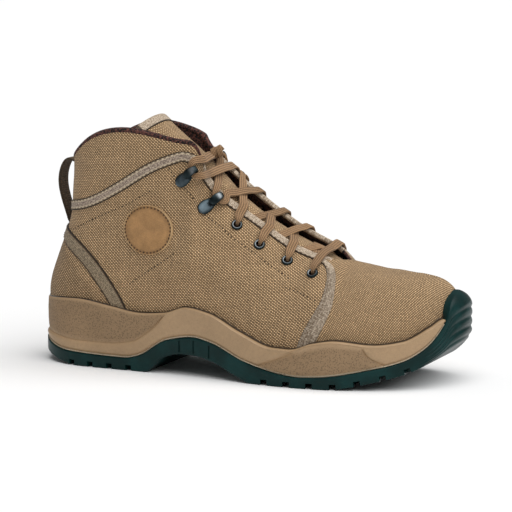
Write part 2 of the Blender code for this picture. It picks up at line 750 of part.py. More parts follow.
def make_midsole():
    """Cup that holds the upper, with the raised wave between its two panels."""
    rim = rim_height(STATION_X)
    lip = lip_height(STATION_X)
    edge = np.minimum(lip, rim - RIM_OVER_EDGE) + GAP
    shown = smoothstep((WAVE_FADE_X - STATION_X) / WAVE_FADE_SPAN)
    hidden = LIP_WIDTH + 2 * GAP
    heel_panel = np.clip(heel_panel_height(STATION_X), edge + PANEL_OVER_EDGE, rim - PANEL_OVER_EDGE / 3)
    fore_panel = np.clip(fore_panel_height(STATION_X), edge + PANEL_OVER_EDGE / 3, heel_panel - 1.6)
    spot, out = outline(STATIONS)
    floor = floor_height((spot - out * FEATHER_INSET)[:, 0])
    wave = (
        (edge, WAVE_RECESS),
        (fore_panel, WAVE_RECESS),
        (fore_panel + WAVE_STEP, WAVE_PROUD),
        (heel_panel - WAVE_STEP, WAVE_PROUD),
        (heel_panel, WAVE_RECESS),
        (rim, WAVE_RECESS + RIM_SLANT),
    )
    loops = [
        sole_side(plate_height(STATION_X) + GAP, np.full(COLUMNS, hidden)),
        sole_side(edge, np.full(COLUMNS, hidden)),
    ]
    for z, inset in wave:
        loops.append(sole_side(z, hidden + (inset - hidden) * shown))
    for share in (1.0, 0.5, 0.0):
        loops.append(cup_inside(floor + (rim - floor) * share))
    make_object("midsole", *loops_to_solid(loops), MIDSOLE_FOAM)


def make_insole():
    """Footbed plate inside the upper."""
    loops = []
    for height, inset in ((CUP_GAP, WALL + 0.8), (INSOLE_THICKNESS, WALL + 1.4)):
        spot, out = outline(STATIONS)
        foot = spot - out * FEATHER_INSET
        z = floor_height(foot[:, 0]) + height
        wall = upper_point(STATIONS, level_at(STATIONS, z))[:, :2]
        loops.append(np.column_stack((wall - out * inset, z)))
    make_object("insole", *loops_to_solid(loops), INSOLE_FOAM)


# The faceted upper, kept for seating what lies on it
UPPER_SKIN = []


def make_upper():
    """Hollow shell over the last, joined along the vamp's ridge and pierced for the eyelets."""
    levels = np.linspace(0.0, 1.0, WALL_LEVELS)
    w, v = np.meshgrid(STATIONS, levels, indexing="ij")
    outside = upper_point(w, v)
    normal = upper_normal(w, v)
    inside = outside - normal * wall_thickness(w, v)[..., None]
    for column in range(THROAT_END_COLUMN, COLUMNS - THROAT_END_COLUMN + 1):
        partner = mirror_column(column)
        middle = unit(normal[column, -1] + normal[partner, -1])
        inside[column, -1] = outside[column, -1] - middle * WALL
    points = []
    outer = np.zeros(w.shape, dtype=int)
    inner = np.zeros(w.shape, dtype=int)
    for column in range(COLUMNS):
        for level in range(WALL_LEVELS):
            on_ridge = level == WALL_LEVELS - 1 and TOE_COLUMN < column <= COLUMNS - THROAT_END_COLUMN
            if on_ridge:
                outer[column, level] = outer[mirror_column(column), level]
                inner[column, level] = inner[mirror_column(column), level]
                continue
            outer[column, level] = len(points)
            points.append(outside[column, level])
            inner[column, level] = len(points)
            points.append(inside[column, level])
    faces = []
    for column in range(COLUMNS):
        after = (column + 1) % COLUMNS
        for level in range(WALL_LEVELS - 1):
            for grid in (outer, inner):
                low = (grid[column, level], grid[after, level])
                high = (grid[after, level + 1], grid[column, level + 1])
                corners = tuple(dict.fromkeys(low + high))
                faces.append(corners if grid is outer else corners[::-1])
    faces += ring_quads(inner[:, 0], outer[:, 0])
    edge = [i % COLUMNS for i in range(-THROAT_END_COLUMN, THROAT_END_COLUMN + 1)]
    crest = []
    for column in edge:
        up = unit(upper_slopes(STATIONS[column], 0.99)[1])
        thick = np.linalg.norm(outside[column, -1] - inside[column, -1])
        crest.append(len(points))
        points.append((outside[column, -1] + inside[column, -1]) / 2 + up * thick * 0.3)
    outer_edge = [outer[i, -1] for i in edge]
    inner_edge = [inner[i, -1] for i in edge]
    faces += ring_quads(outer_edge, crest, closed=False)
    faces += ring_quads(crest, inner_edge, closed=False)
    faces.append((outer_edge[0], crest[0], crest[-1]))
    faces.append((crest[0], inner_edge[0], crest[-1]))
    upper = make_object("upper", np.array(points), faces, CANVAS)
    facets = [tuple(facet.vertices) for facet in upper.data.polygons]
    UPPER_SKIN.append(BVHTree.FromPolygons([Vector(p) for p in points], facets))
    use_boolean(upper, eyelet_holes(), "DIFFERENCE")


def eyelet_places():
    """Side name, number, station and level of every eyelet."""
    places = []
    for side, rows in EYELETS.items():
        for number, (x, z) in enumerate(zip(rows["x"], rows["z"]), start=1):
            w, v = find_on_upper(x, z, side == "medial")
            places.append((side, number, float(w), float(v)))
    return places


def turned(profile, steps, spot, axis):
    """Points and faces of a closed ring turned about an axis; profile rows are radius and height."""
    axis = np.asarray(axis, dtype=float)
    first = unit(np.cross(axis, np.array((0.3, 0.1, 1.0))))
    second = np.cross(axis, first)
    points = []
    for k in range(steps):
        angle = 2 * math.pi * k / steps
        reach = first * math.cos(angle) + second * math.sin(angle)
        points += [spot + reach * radius + axis * height for radius, height in profile]
    size = len(profile)
    faces = []
    for k in range(steps):
        row = np.arange(size) + size * k
        after = np.arange(size) + size * ((k + 1) % steps)
        faces += ring_quads(list(row), list(after))
    return points, faces


def eyelet_holes():
    """Cutter with one round bar for each eyelet."""
    points = []
    faces = []
    steps = EYELET_SIDES
    for _, _, w, v in eyelet_places():
        spot = upper_point(w, v)
        axis = upper_normal(w, v)
        first = unit(np.cross(axis, np.array((0.3, 0.1, 1.0))))
        second = np.cross(axis, first)
        start = len(points)
        for height in (-6.0, 4.0):
            for k in range(steps):
                angle = 2 * math.pi * k / steps
                reach = first * math.cos(angle) + second * math.sin(angle)
                points.append(spot + reach * EYELET_HOLE + axis * height)
        low = [start + k for k in range(steps)]
        high = [start + steps + k for k in range(steps)]
        faces += ring_quads(low, high)
        faces += [tuple(reversed(low)), tuple(high)]
    return make_object("cut_eyelet_holes", np.array(points), faces)


def make_eyelets():
    """Ring eyelets: a rounded flange on the canvas and a barrel through it."""
    base = HARDWARE_GAP
    profile = (
        (EYELET_BORE, base + EYELET_FLANGE * 0.7),
        (EYELET_BORE, -WALL + 0.3),
        (EYELET_BARREL, -WALL + 0.3),
        (EYELET_BARREL, base),
        (EYELET_RADIUS, base),
        ((EYELET_RADIUS + EYELET_BORE) / 2 + 0.2, base + EYELET_FLANGE),
    )
    for side, number, w, v in eyelet_places():
        points, faces = turned(profile, EYELET_SIDES, seat(w, v, 0.0), upper_normal(w, v))
        make_object(f"eyelet_{side}_{number}", np.array(points), faces, GUNMETAL)


def hook_places():
    """Side name, number, foot, throat direction and normal of every hook."""
    places = []
    for side, rows in HOOKS.items():
        for number in range(len(rows["x"])):
            w, v = find_on_upper(rows["x"][number], rows["z"][number], side == "medial")
            tip = find_on_upper(rows["tip_x"][number], rows["tip_z"][number], side == "medial")
            foot = seat(w, v, 0.0)
            normal = upper_normal(w, v)
            along = upper_point(*tip) - foot
            along = unit(along - normal * np.dot(along, normal))
            foot = foot + normal * (HARDWARE_GAP + plate_rise(foot, along, normal))
            places.append((side, number + 1, foot, along, normal))
    return places


def plate_rise(foot, along, normal):
    """How far the facets under a hook's plate stand above the plane through its foot."""
    across = np.cross(normal, along)
    rises = [0.0]
    for a in np.linspace(HOOK["along"].min(), HOOK["along"].max(), 7):
        for b in np.linspace(-0.5, 0.5, 5) * HOOK["width"].max():
            start = foot + along * a + across * b + normal * SEAT_REACH
            hit, _, _, _ = UPPER_SKIN[0].ray_cast(Vector(start), Vector(-normal), 2 * SEAT_REACH)
            if hit is not None:
                rises.append(float(np.dot(np.array(hit) - foot, normal)))
    return max(rises)


def ribbon(middle, across, normal, widths, thickness):
    """Points and faces of a flat band along middle points, four corners to a section."""
    points = []
    for spot, side, up, width in zip(middle, across, normal, widths):
        for a, b in ((-0.5, -0.5), (0.5, -0.5), (0.5, 0.5), (-0.5, 0.5)):
            points.append(spot + side * width * a + up * thickness * b)
    faces = [(0, 1, 2, 3)]
    for k in range(len(middle) - 1):
        low = [4 * k + i for i in range(4)]
        high = [4 * k + 4 + i for i in range(4)]
        faces += ring_quads(low, high)
    last = 4 * (len(middle) - 1)
    faces.append((last + 3, last + 2, last + 1, last))
    return points, faces


def make_hooks():
    """Speed hooks: a plate on the canvas, bent up at the throat side and back over itself."""
    turn = unit(np.gradient(np.column_stack((HOOK["along"], HOOK["high"])), axis=0))
    for side, number, foot, along, normal in hook_places():
        across = np.cross(normal, along)
        middle = [foot + along * a + normal * h for a, h in zip(HOOK["along"], HOOK["high"])]
        ups = [normal * t[0] - along * t[1] for t in turn]
        points, faces = ribbon(middle, [across] * len(middle), ups, HOOK["width"], HOOK_STEEL)
        make_object(f"hook_{side}_{number}", np.array(points), faces, GUNMETAL)


def band(name, w, v, width, thickness, finish):
    """Raised strip on the upper along a path of stations and levels."""
    path = upper_point(w, v)
    normal = upper_normal(w, v)
    along = unit(np.gradient(path, axis=0))
    across = unit(np.cross(normal, along))
    rows = []
    for share in (-0.5, 0.0, 0.5):
        side_w, side_v = step_on_upper(w, v, across, np.full(len(w), width * share))
        for height in (OVERLAY_GAP, OVERLAY_GAP + thickness):
            rows.append(seat(side_w, side_v, height))
    order = (0, 2, 4, 5, 3, 1)
    count = len(w)
    points = np.vstack([rows[k] for k in order])
    faces = []
    for k in range(6):
        low = np.arange(count) + count * k
        high = np.arange(count) + count * ((k + 1) % 6)
        faces += ring_quads(list(low), list(high), closed=False)
    for end in (0, count - 1):
        loop = [end + count * k for k in range(6)]
        faces.append((loop[0], loop[1], loop[4], loop[5]))
        faces.append((loop[1], loop[2], loop[3], loop[4]))
    make_object(name, points, faces, finish)


def heel_band(name, rows, width):
    """Strip that runs round the heel at the heights of a table, bent where the upper's facets bend."""
    last = rows["u"][-1]
    columns = SIDE[(SIDE > 0) & (SIDE < last - 0.1)]
    u = np.concatenate(([-last], -columns[::-1], [0.0], columns, [last]))
    knots, values = mirrored(rows["u"], rows["z"][:, None], np.ones(1), False)
    z = free_spline(knots, values)(np.abs(u))[:, 0]
    band(name, u, level_at(u, z), width, TAPE_THICKNESS, WEBBING_DARK)


def make_tapes():
    heel_band("collar_tape", COLLAR_TAPE, COLLAR_TAPE_WIDTH)
    heel_band("counter_tape", COUNTER_TAPE, COUNTER_TAPE_WIDTH)
    count = len(FACING_TAPE["u"])
    rows = np.column_stack((FACING_TAPE["u"], FACING_TAPE["v"]))
    path = free_spline(np.arange(count), rows)(np.linspace(0, count - 1, FACING_SAMPLES))
    for side, w in (("lateral", path[:, 0]), ("medial", LOOP_STATIONS - path[:, 0])):
        band(f"facing_tape_{side}", w, path[:, 1], FACING_TAPE_WIDTH, TAPE_THICKNESS, WEBBING_PALE)


def make_badge():
    """Round leather patch that follows the outer side of the ankle."""
    steps = 18
    angle = np.linspace(0, 2 * math.pi, steps, endpoint=False)
    rows = []
    for share, height in ((0.5, 0.0), (1.0, 0.0), (1.0, 0.75), (0.94, 1.0), (0.5, 1.0)):
        w, v = find_on_upper(
            BADGE_X + BADGE_RADIUS * share * np.cos(angle), BADGE_Z + BADGE_RADIUS * share * np.sin(angle))
        rows.append(seat(w, v, OVERLAY_GAP + BADGE_THICKNESS * height))
    w, v = find_on_upper(BADGE_X, BADGE_Z)
    points = list(np.vstack(rows))
    low_middle = len(points)
    points.append(seat(w, v, OVERLAY_GAP))
    high_middle = len(points)
    points.append(seat(w, v, OVERLAY_GAP + BADGE_THICKNESS))
    loops = [list(np.arange(steps) + steps * k) for k in range(len(rows))]
    faces = []
    for low, high in zip(loops, loops[1:]):
        faces += ring_quads(low, high)
    for k in range(steps):
        faces.append((loops[0][(k + 1) % steps], loops[0][k], low_middle))
        faces.append((loops[-1][k], loops[-1][(k + 1) % steps], high_middle))
    make_object("badge", np.array(points), faces, BADGE_LEATHER)


def tongue_line():
    """Rows along the tongue, and its outward direction at each."""
    count = len(TONGUE["x"])
    rows = np.column_stack([TONGUE[name] for name in ("x", "z", "half_width", "tilt", "drop")])
    line = free_spline(np.arange(count), rows)(np.linspace(0, count - 1, TONGUE_SECTIONS))
    along = unit(np.gradient(line[:, :2], axis=0))
    up = np.column_stack((along[:, 1], np.zeros(len(line)), -along[:, 0]))
    return line, up


def over_tongue(x, y, height):
    """Point a height above the tongue's outer face."""
    line, _ = tongue_line()
    order = np.argsort(line[:, 0])
    z, half, tilt, drop = (np.interp(x, line[order, 0], line[order, k]) for k in (1, 2, 3, 4))
    lift = tilt * y - drop * (y / half) ** 2 + height
    return np.array((x, y, z)) + tongue_up(x) * lift


def tongue_up(x):
    """Outward direction of the tongue at x."""
    line, up = tongue_line()
    order = np.argsort(line[:, 0])
    return unit(np.array([np.interp(x, line[order, 0], up[order, k]) for k in range(3)]))


def make_tongue():
    """Padded arched tongue, from under the vamp to above the collar."""
    shares = np.linspace(-1.0, 1.0, 9)
    loops = []
    for (x, z, half, tilt, drop), up in zip(*tongue_line()):
        lift = tilt * shares * half - drop * shares ** 2
        thick = TONGUE_EDGE + (TONGUE_THICKNESS - TONGUE_EDGE) * (1 - shares ** 4)
        middle = np.column_stack((np.full(9, x), shares * half, np.full(9, z)))
        outer = middle + up * lift[:, None]
        inner = middle + up * (lift - thick)[:, None]
        loops.append(np.vstack((outer, inner[::-1])))
    size = len(loops[0])
    faces = []
    for k in range(len(loops) - 1):
        low = [size * k + i for i in range(size)]
        high = [size * k + size + i for i in range(size)]
        faces += ring_quads(low, high)
    for start in (0, size * (len(loops) - 1)):
        for i in range(size // 2 - 1):
            faces.append((start + i, start + i + 1, start + size - 2 - i, start + size - 1 - i))
    make_object("tongue", np.vstack(loops), faces, CANVAS)


def lace_row(side, row):
    """Station and level of a lacing row: the eyelets from the toe up, then the hooks."""
    eyelets = EYELETS[side]
    hooks = HOOKS[side]
    x = np.concatenate((eyelets["x"][::-1], hooks["x"][::-1]))[row]
    z = np.concatenate((eyelets["z"][::-1], hooks["z"][::-1]))[row]
    w, v = find_on_upper(x, z, side == "medial")
    return float(w), float(v)


def other(side):
    return "medial" if side == "lateral" else "lateral"


def nearest_edge(side, spot):
    """Station of the throat's edge nearest to a point."""
    u = np.linspace(COLLAR_FRONT, THROAT_END, 300)
    w = u if side == "lateral" else LOOP_STATIONS - u
    return float(w[np.argmin(np.linalg.norm(top_point(w) - spot, axis=1))])


def edge_station(side, row, share):
    """Station of the throat's edge a share of the way from a row to the next one up."""
    start = nearest_edge(side, upper_point(*lace_row(side, row)))
    end = nearest_edge(side, upper_point(*lace_row(side, row + 1)))
    return start + (end - start) * share


def edge_shifted(edge, upwards):
    """Station of the throat's edge some millimetres further up it."""
    step = 0.01
    slope = (top_point(edge + step) - top_point(edge - step)) / (2 * step)
    return edge + np.sign(slope[2]) * upwards / np.linalg.norm(slope)


def on_canvas(w, v, height):
    """Lace point over the upper, with its normal."""
    return seat(w, v, height), upper_normal(w, v)


def from_eyelet(side, row, share):
    """Lace points from an eyelet to the throat's edge."""
    w, v = lace_row(side, row)
    edge = edge_station(side, row, share)
    return [
        on_canvas(w, v, LACE_OVER_EYELET),
        on_canvas((w + edge) / 2, (v + 1) / 2, LACE_OVER_EDGE),
        on_canvas(edge, 1.0, LACE_OVER_EDGE),
    ]


def from_hook(side, number, upper_strand):
    """Lace points from the throat side of a hook to the edge, above or below its other strand."""
    _, _, _, along, normal = next(p for p in hook_places() if p[:2] == (side, number))
    across = np.cross(normal, along)
    offset = LACE_PAIR_OFFSET if upper_strand else -LACE_PAIR_OFFSET
    w, v = lace_row(side, len(EYELETS[side]["x"]) + len(HOOKS[side]["x"]) - number)
    edge = edge_shifted(nearest_edge(side, upper_point(w, v)), offset)
    w, v = step_on_upper(w, v, along, LACE_HOOK_REACH)
    w, v = step_on_upper(w, v, across * np.sign(across[2]), offset)
    return [on_canvas(w, v, LACE_OVER_EDGE), on_canvas(edge, 1.0, LACE_OVER_EDGE)]


def at_tongue(edge, inset):
    """Lace point on the tongue, inside the throat edge at a station."""
    x, y, _ = top_point(edge)
    return over_tongue(x, y - np.sign(y) * inset, LACE_OVER_TONGUE), tongue_up(x)


def over_middle(first, last, height):
    """Lace point above the tongue, half way between two others."""
    x, y, _ = (first[0] + last[0]) / 2
    return over_tongue(x, y, height), tongue_up(x)


def clear_of_tongue(spot):
    """The point itself, or raised where it would lie too low over the tongue."""
    up = tongue_up(spot[0])
    height = np.dot(spot - over_tongue(spot[0], spot[1], 0.0), up)
    return spot + up * max(0.0, LACE_OVER_TONGUE - height)


def lace_strand(stops):
    """Points and faces of a flat lace through stops, bent at them and half way between."""
    spots = np.array([spot for spot, _ in stops])
    ups = np.array([up for _, up in stops])
    run = np.concatenate(([0.0], np.cumsum(np.linalg.norm(np.diff(spots, axis=0), axis=1))))
    at = np.sort(np.concatenate((run, (run[1:] + run[:-1]) / 2)))
    middle = np.array([clear_of_tongue(spot) for spot in free_spline(run, spots)(at)])
    along = unit(np.gradient(middle, at, axis=0))
    across = unit(np.cross(free_spline(run, ups)(at), along))
    return ribbon(middle, across, np.cross(along, across), [LACE_WIDTH] * len(at), LACE_THICKNESS)


def lace_piece(name, stops, joined=None):
    """Lace node along one strand, or along two strands joined where they cross."""
    points, faces = lace_strand(stops)
    piece = make_object(name, np.array(points), faces, LACE_BRAID)
    if joined is not None:
        points, faces = lace_strand(joined)
        use_boolean(piece, make_object("join_" + name, np.array(points), faces), "UNION")


def crossing_strand(side, row, height):
    """Strand from one side's row to the other side's next row up."""
    if row == 0:
        start = [at_tongue(edge_station(side, row, LACE_DIPS_LOW), LACE_END_INSET)]
    elif row < len(EYELETS[side]["x"]):
        start = from_eyelet(side, row, LACE_LEAVES)
    else:
        start = from_hook(side, 2, True)
    if row + 1 < len(EYELETS[side]["x"]):
        end = [at_tongue(edge_station(other(side), row, LACE_DIPS), LACE_END_INSET)]
    else:
        end = from_hook(other(side), 5 - row, False)[::-1]
    return start + [over_middle(start[-1], end[0], height)] + end


def make_laces():
    """Bar at the toe, crossings up the throat, bar and tie at the top."""
    start = from_eyelet("lateral", 0, 0.0)
    end = from_eyelet("medial", 0, 0.0)[::-1]
    lace_piece("lace_bar_toe", start + [over_middle(start[-1], end[0], LACE_CROSS_HEIGHT)] + end)
    for row in range(5):
        lower = crossing_strand("lateral", row, LACE_CROSS_HEIGHT)
        upper = crossing_strand("medial", row, LACE_CROSS_HEIGHT + LACE_OVERLAP)
        lace_piece(f"lace_cross_{row + 1}", lower, upper)
    start = from_hook("lateral", 1, True)
    top_row = upper_point(*lace_row("medial", 5))
    edge = edge_shifted(nearest_edge("medial", top_row), LACE_PAIR_OFFSET)
    end = at_tongue(edge, LACE_KNOT_INSET)
    lace_piece("lace_bar_top", start + [over_middle(start[-1], end, LACE_CROSS_HEIGHT), end])
    make_knot(*on_canvas(edge, 1.0, KNOT_HEIGHT), end[0])


def make_knot(middle, up, bar_end):
    """Rounded tie at the inner end of the top bar."""
    along = bar_end - middle
    along = unit(along - up * np.dot(along, up))
    across = np.cross(up, along)
    points = [middle + along * KNOT_LENGTH / 2]
    rings = 4
    for k in range(1, rings + 1):
        turn = math.pi * k / (rings + 1)
        for j in range(KNOT_SIDES):
            angle = 2 * math.pi * j / KNOT_SIDES
            round_way = across * math.cos(angle) * KNOT_WIDTH + up * math.sin(angle) * KNOT_THICKNESS
            points.append(middle + (along * KNOT_LENGTH * math.cos(turn) + round_way * math.sin(turn)) / 2)
    points.append(middle - along * KNOT_LENGTH / 2)
    rows = [[1 + KNOT_SIDES * k + j for j in range(KNOT_SIDES)] for k in range(rings)]
    faces = []
    for low, high in zip(rows, rows[1:]):
        faces += ring_quads(low, high)
    for j in range(KNOT_SIDES):
        after = (j + 1) % KNOT_SIDES
        faces.append((0, rows[0][after], rows[0][j]))
        faces.append((len(points) - 1, rows[-1][j], rows[-1][after]))
    make_object("lace_knot", np.array(points), faces, LACE_BRAID)


def make_pull_loop():
    """Webbing loop standing off the heel's back."""
    rows = np.column_stack((LOOP["x"], LOOP["z"]))
    count = len(rows)
    line = free_spline(np.arange(count), rows)(np.linspace(0, count - 1, 18))
    along = unit(np.gradient(line, axis=0))
    middle = [np.array((x, 0.0, z)) for x, z in line]
    ups = [np.array((-a[1], 0.0, a[0])) for a in along]
    across = [np.array((0.0, 1.0, 0.0))] * len(middle)
    points, faces = ribbon(middle, across, ups, [LOOP_WIDTH] * len(middle), LOOP_THICKNESS)
    make_object("pull_loop", np.array(points), faces, LOOP_WEBBING)


def clear_scene():
    for item in list(bpy.data.objects):
        bpy.data.objects.remove(item, do_unlink=True)


def main():
    clear_scene()
    make_outsole()
    make_midsole()
    make_insole()
    make_upper()
    make_tongue()
    make_tapes()
    make_badge()
    make_pull_loop()
    make_eyelets()
    make_hooks()
    make_laces()


main()
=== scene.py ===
"""Dressed lace-up canvas boot on a moulded sole, right foot.

Tables are in millimetres. x runs from the heel's back to the toe, y to the inner (medial) side and z up
from the floor. place() turns them into metres about the middle of the sole's outline.

A place along the shoe's rim is a station w: 0 at the heel's back, TOE_STATION at the toe's tip on the
outer (lateral) side, and on round the inner side to LOOP_STATIONS at the heel again. A place up the
upper's wall is v: 0 at the feather edge, 1 at the collar, at the throat's edge or on the vamp's ridge.
"""
import math
from itertools import product

import bmesh
import bpy
import numpy as np
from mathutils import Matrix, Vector


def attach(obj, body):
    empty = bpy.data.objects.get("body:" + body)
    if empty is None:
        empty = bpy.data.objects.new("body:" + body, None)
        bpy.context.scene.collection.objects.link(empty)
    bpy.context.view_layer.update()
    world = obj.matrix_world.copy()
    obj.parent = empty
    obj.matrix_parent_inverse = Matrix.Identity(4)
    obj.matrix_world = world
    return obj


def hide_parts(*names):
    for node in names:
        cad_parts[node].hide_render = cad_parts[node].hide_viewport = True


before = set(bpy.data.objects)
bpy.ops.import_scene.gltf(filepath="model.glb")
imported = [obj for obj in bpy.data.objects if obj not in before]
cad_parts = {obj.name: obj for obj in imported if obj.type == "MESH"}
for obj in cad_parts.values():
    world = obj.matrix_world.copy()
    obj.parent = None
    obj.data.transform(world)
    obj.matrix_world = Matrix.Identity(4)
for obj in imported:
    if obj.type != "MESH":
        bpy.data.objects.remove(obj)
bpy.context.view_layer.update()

MM = 0.001

# Clearances and wall thicknesses
GAP = 0.35
CUP_GAP = 0.45
WALL = 2.0
COLLAR_PAD = 5.5
TAPE_THICKNESS = 1.0
BADGE_THICKNESS = 1.6

# Sole
FEATHER_INSET = 6.5
LIP_WIDTH = 2.2
TREAD_CHAMFER = 1.3
BUMPER_STANDOFF = 3.0
BUMPER_LEAN_FROM = 50.0
BUMPER_LEAN_SPAN = 14.0
TOE_RIB_FROM_X = 284.0
WAVE_PROUD = 0.3
WAVE_RECESS = 1.3
RIM_OVER_EDGE = 3.6
PANEL_OVER_EDGE = 2.4
WAVE_FADE_X = 298.0
WAVE_FADE_SPAN = 5.0
LUG_DEPTH = 3.8
LUG_GROOVE = 4.4
ARCH_RIB_DEPTH = 1.0
ARCH_RIB_GROOVE = 1.3

# Upper: where the collar turns into the throat, and where the throat ends on the vamp
COLLAR_FRONT = 5.2
THROAT_END = 8.1

# Round patch and hardware
BADGE_X = 91.3
BADGE_Z = 96.1
BADGE_RADIUS = 17.5
BADGE_RISE = 16.6
EYELET_RADIUS = 3.9
EYELET_BORE = 2.0
EYELET_BARREL = 2.6
EYELET_FLANGE = 0.9
LACE_WIDTH = 6.5
LACE_THICKNESS = 1.3


def table(columns, *rows):
    """Named columns of numbers from rows."""
    return dict(zip(columns.split(), np.array(rows, dtype=float).T))


def side_by_side(rows, columns):
    """Named columns of a table as one array."""
    return np.column_stack([rows[name] for name in columns.split()])


# Sole outline from above: half widths to the lateral and medial side, last row the toe's tip
OUTLINE = table(
    "x lateral medial",
    (0, 0, 0),
    (7, 20, 20),
    (25, 33, 33),
    (50, 37.5, 36),
    (85, 39.5, 34.5),
    (120, 42.5, 34),
    (155, 47.5, 38),
    (190, 52, 46),
    (220, 51.5, 51),
    (248, 45, 51),
    (272, 34, 45.5),
    (290, 19, 36.5),
    (299.5, 3, 25),
    (302, -11, 11),
)
TOE_STATION = len(OUTLINE["x"]) - 1
LOOP_STATIONS = 2 * TOE_STATION

# Collar and throat edge, from the heel's back to the throat's end
TOP_EDGE = table(
    "u x_lateral lateral z_lateral x_medial medial z_medial",
    (0.0, 22, 0, 139, 22, 0, 139),
    (1.0, 25.2, 13, 141, 25.2, 13, 141),
    (2.2, 34, 24.5, 148.4, 34, 24.5, 148.4),
    (3.05, 52, 32, 159, 52, 32, 159),
    (3.75, 76, 34.5, 162.6, 73, 34, 163),
    (4.3, 97, 33, 159.4, 92, 32.5, 159.8),
    (4.8, 114, 30, 156, 105, 29, 155.6),
    (5.2, 124.5, 26, 150, 110, 25, 150.5),
    (5.4, 126.5, 20.5, 137.5, 118.5, 20, 143.5),
    (5.65, 133.5, 16.5, 124.5, 133, 16, 132.5),
    (5.95, 146, 13.5, 114, 147.5, 14.5, 121.5),
    (6.35, 165, 12.5, 102, 166, 14, 108.5),
    (6.85, 184, 12.5, 90.5, 184, 14, 97.5),
    (7.43, 203, 12, 83, 203, 13, 89),
    (7.87, 216, 8, 80.5, 216, 10.5, 83),
    (8.1, 223, -3.5, 80, 223, 3.5, 80),
)

# Ridge of the vamp, from the throat's end to the toe
RIDGE = table(
    "u x y z",
    (8.1, 223, 3.5, 80),
    (9.0, 241, 4.5, 77),
    (10.0, 256, 6, 74),
    (11.0, 267, 8, 71.5),
    (12.0, 274.5, 9.5, 69.8),
    (13.0, 278, 10.5, 69),
)

# Wall shape: how the wall leaves the feather edge and how it reaches the top edge
WALL_SHAPE = table(
    "u rise bulge lean drop",
    (0.0, 33, 17, -7, 53),
    (1.0, 33, 16, -6.5, 52),
    (2.0, 33, 12, -5, 50),
    (3.0, 30, 8, -5, 50),
    (4.0, 32, 6, -2, 50),
    (5.0, 36, 5, 8, 38),
    (5.6, 38, 4.5, 15, 20),
    (6.0, 38, 4, 18, 14),
    (7.0, 36, 4, 19, 11),
    (8.0, 34, 4, 22, 3),
    (9.0, 32, 4, 23, 0.5),
    (10.0, 30, 3.5, 22, 0.5),
    (11.0, 28, 3, 18, 0.5),
    (12.0, 26, 2.5, 15, 0.5),
    (13.0, 25, 2, 13.5, 0.5),
)

# Heights along the sole: ground side, plate under the cup, outsole edge, cup edge and footbed
TREAD = table(
    "x z",
    (0, 8.5), (10, 5), (22, 2), (36, 0), (90, 0), (97, 5), (104, 11), (118, 14.5), (128, 14.2),
    (142, 11.5), (155, 6), (163, 2.5), (170, 0), (226, 0), (240, 2), (256, 5.6), (272, 10),
    (288, 17.5), (302, 26),
)
PLATE = table(
    "x z",
    (0, 13.5), (15, 9), (30, 6.5), (80, 6.3), (92, 8.5), (104, 16.5), (118, 19), (130, 18.7),
    (145, 15.5), (160, 9.5), (172, 5.8), (190, 5.3), (225, 5.5), (245, 8), (262, 12.2), (280, 18.5),
    (302, 30),
)
LIP = table(
    "x z",
    (0, 17), (12, 12.5), (28, 9.6), (74, 8.4), (84, 10.5), (107, 23.2), (127, 26.6), (140, 24.4),
    (166, 14.2), (193, 8), (205, 7), (221, 7.9), (250, 12.9), (272, 18.8), (280, 23.3), (287, 29.8),
    (293.4, 41), (297, 55), (302, 61.5),
)
RIM = table(
    "x z",
    (0, 43.5), (37, 46.2), (62, 43), (85, 39.8), (104, 41.3), (121, 46.2), (138, 43.7), (162, 33.2),
    (187, 25), (199, 24.8), (215, 29.6), (230, 31.7), (255, 29.6), (272, 31.7), (288, 40.7),
    (294, 45), (302, 45.6),
)
FLOOR = table(
    "x z",
    (0, 28), (60, 28), (90, 27), (115, 25), (140, 21.5), (170, 17), (195, 15), (215, 15), (235, 17),
    (256, 20.5), (276, 25), (302, 32),
)

# The raised wave on the cup's side: the heel panel starts above it, the forefoot panel ends below it
HEEL_PANEL = table(
    "x z",
    (0, 22), (40, 17.8), (60, 17.8), (78, 20), (95, 30), (104, 39), (115, 52), (302, 60),
)
FORE_PANEL = table(
    "x z",
    (0, 0), (168, 5), (176, 12), (190, 17.5), (204, 24), (214, 34), (243, 34), (252, 21.5),
    (262, 16.5), (272, 10), (302, 10),
)

# Tongue: its outer line from the throat's end to its top edge, as x, z, half width, tilt and drop
TONGUE = np.array((
    (221.6, 73.9, 20, 0.05, 5.5),
    (203.7, 82.1, 23, 0.10, 8),
    (184.1, 91.7, 24, 0.10, 11.2),
    (164.4, 103.1, 23.5, 0.06, 14.5),
    (145.6, 116.9, 20, 0.0, 13),
    (132.4, 129.4, 19, 0.0, 8.5),
    (114.3, 145.4, 20, 0.0, 6),
    (100, 156.5, 22.5, 0.0, 7),
    (83.5, 170, 23.5, 0.0, 7.5),
))
TONGUE_THICKNESS = 4.5
TONGUE_EDGE = 2.4
TONGUE_SECTIONS = 14

# Tapes: height of the band's middle along the wall, then the facing tape's path as u and v
COLLAR_TAPE = table(
    "u z",
    (0, 107), (1, 107.5), (2, 109), (3, 114.5), (3.7, 127), (4.2, 138), (4.65, 144.3), (4.87, 146),
    (5.0, 145.3), (5.13, 143.8),
)
COUNTER_TAPE = table(
    "u z",
    (0, 91.8), (1, 90.5), (2, 86), (2.5, 80.3), (3.0, 69.2), (3.3, 57.8), (3.5, 47.3), (3.64, 37),
)
FACING_TAPE = (
    (5.36, 0.93), (5.45, 0.955), (5.7, 0.965), (6.23, 0.965), (6.8, 0.96), (7.35, 0.95), (7.64, 0.915),
    (7.78, 0.86), (7.87, 0.78), (7.94, 0.67), (7.975, 0.55), (7.98, 0.43), (7.92, 0.34), (7.82, 0.255),
    (7.69, 0.16), (7.61, 0.09),
)
COLLAR_TAPE_WIDTH = 7.0
COUNTER_TAPE_WIDTH = 7.0
FACING_TAPE_WIDTH = 5.6

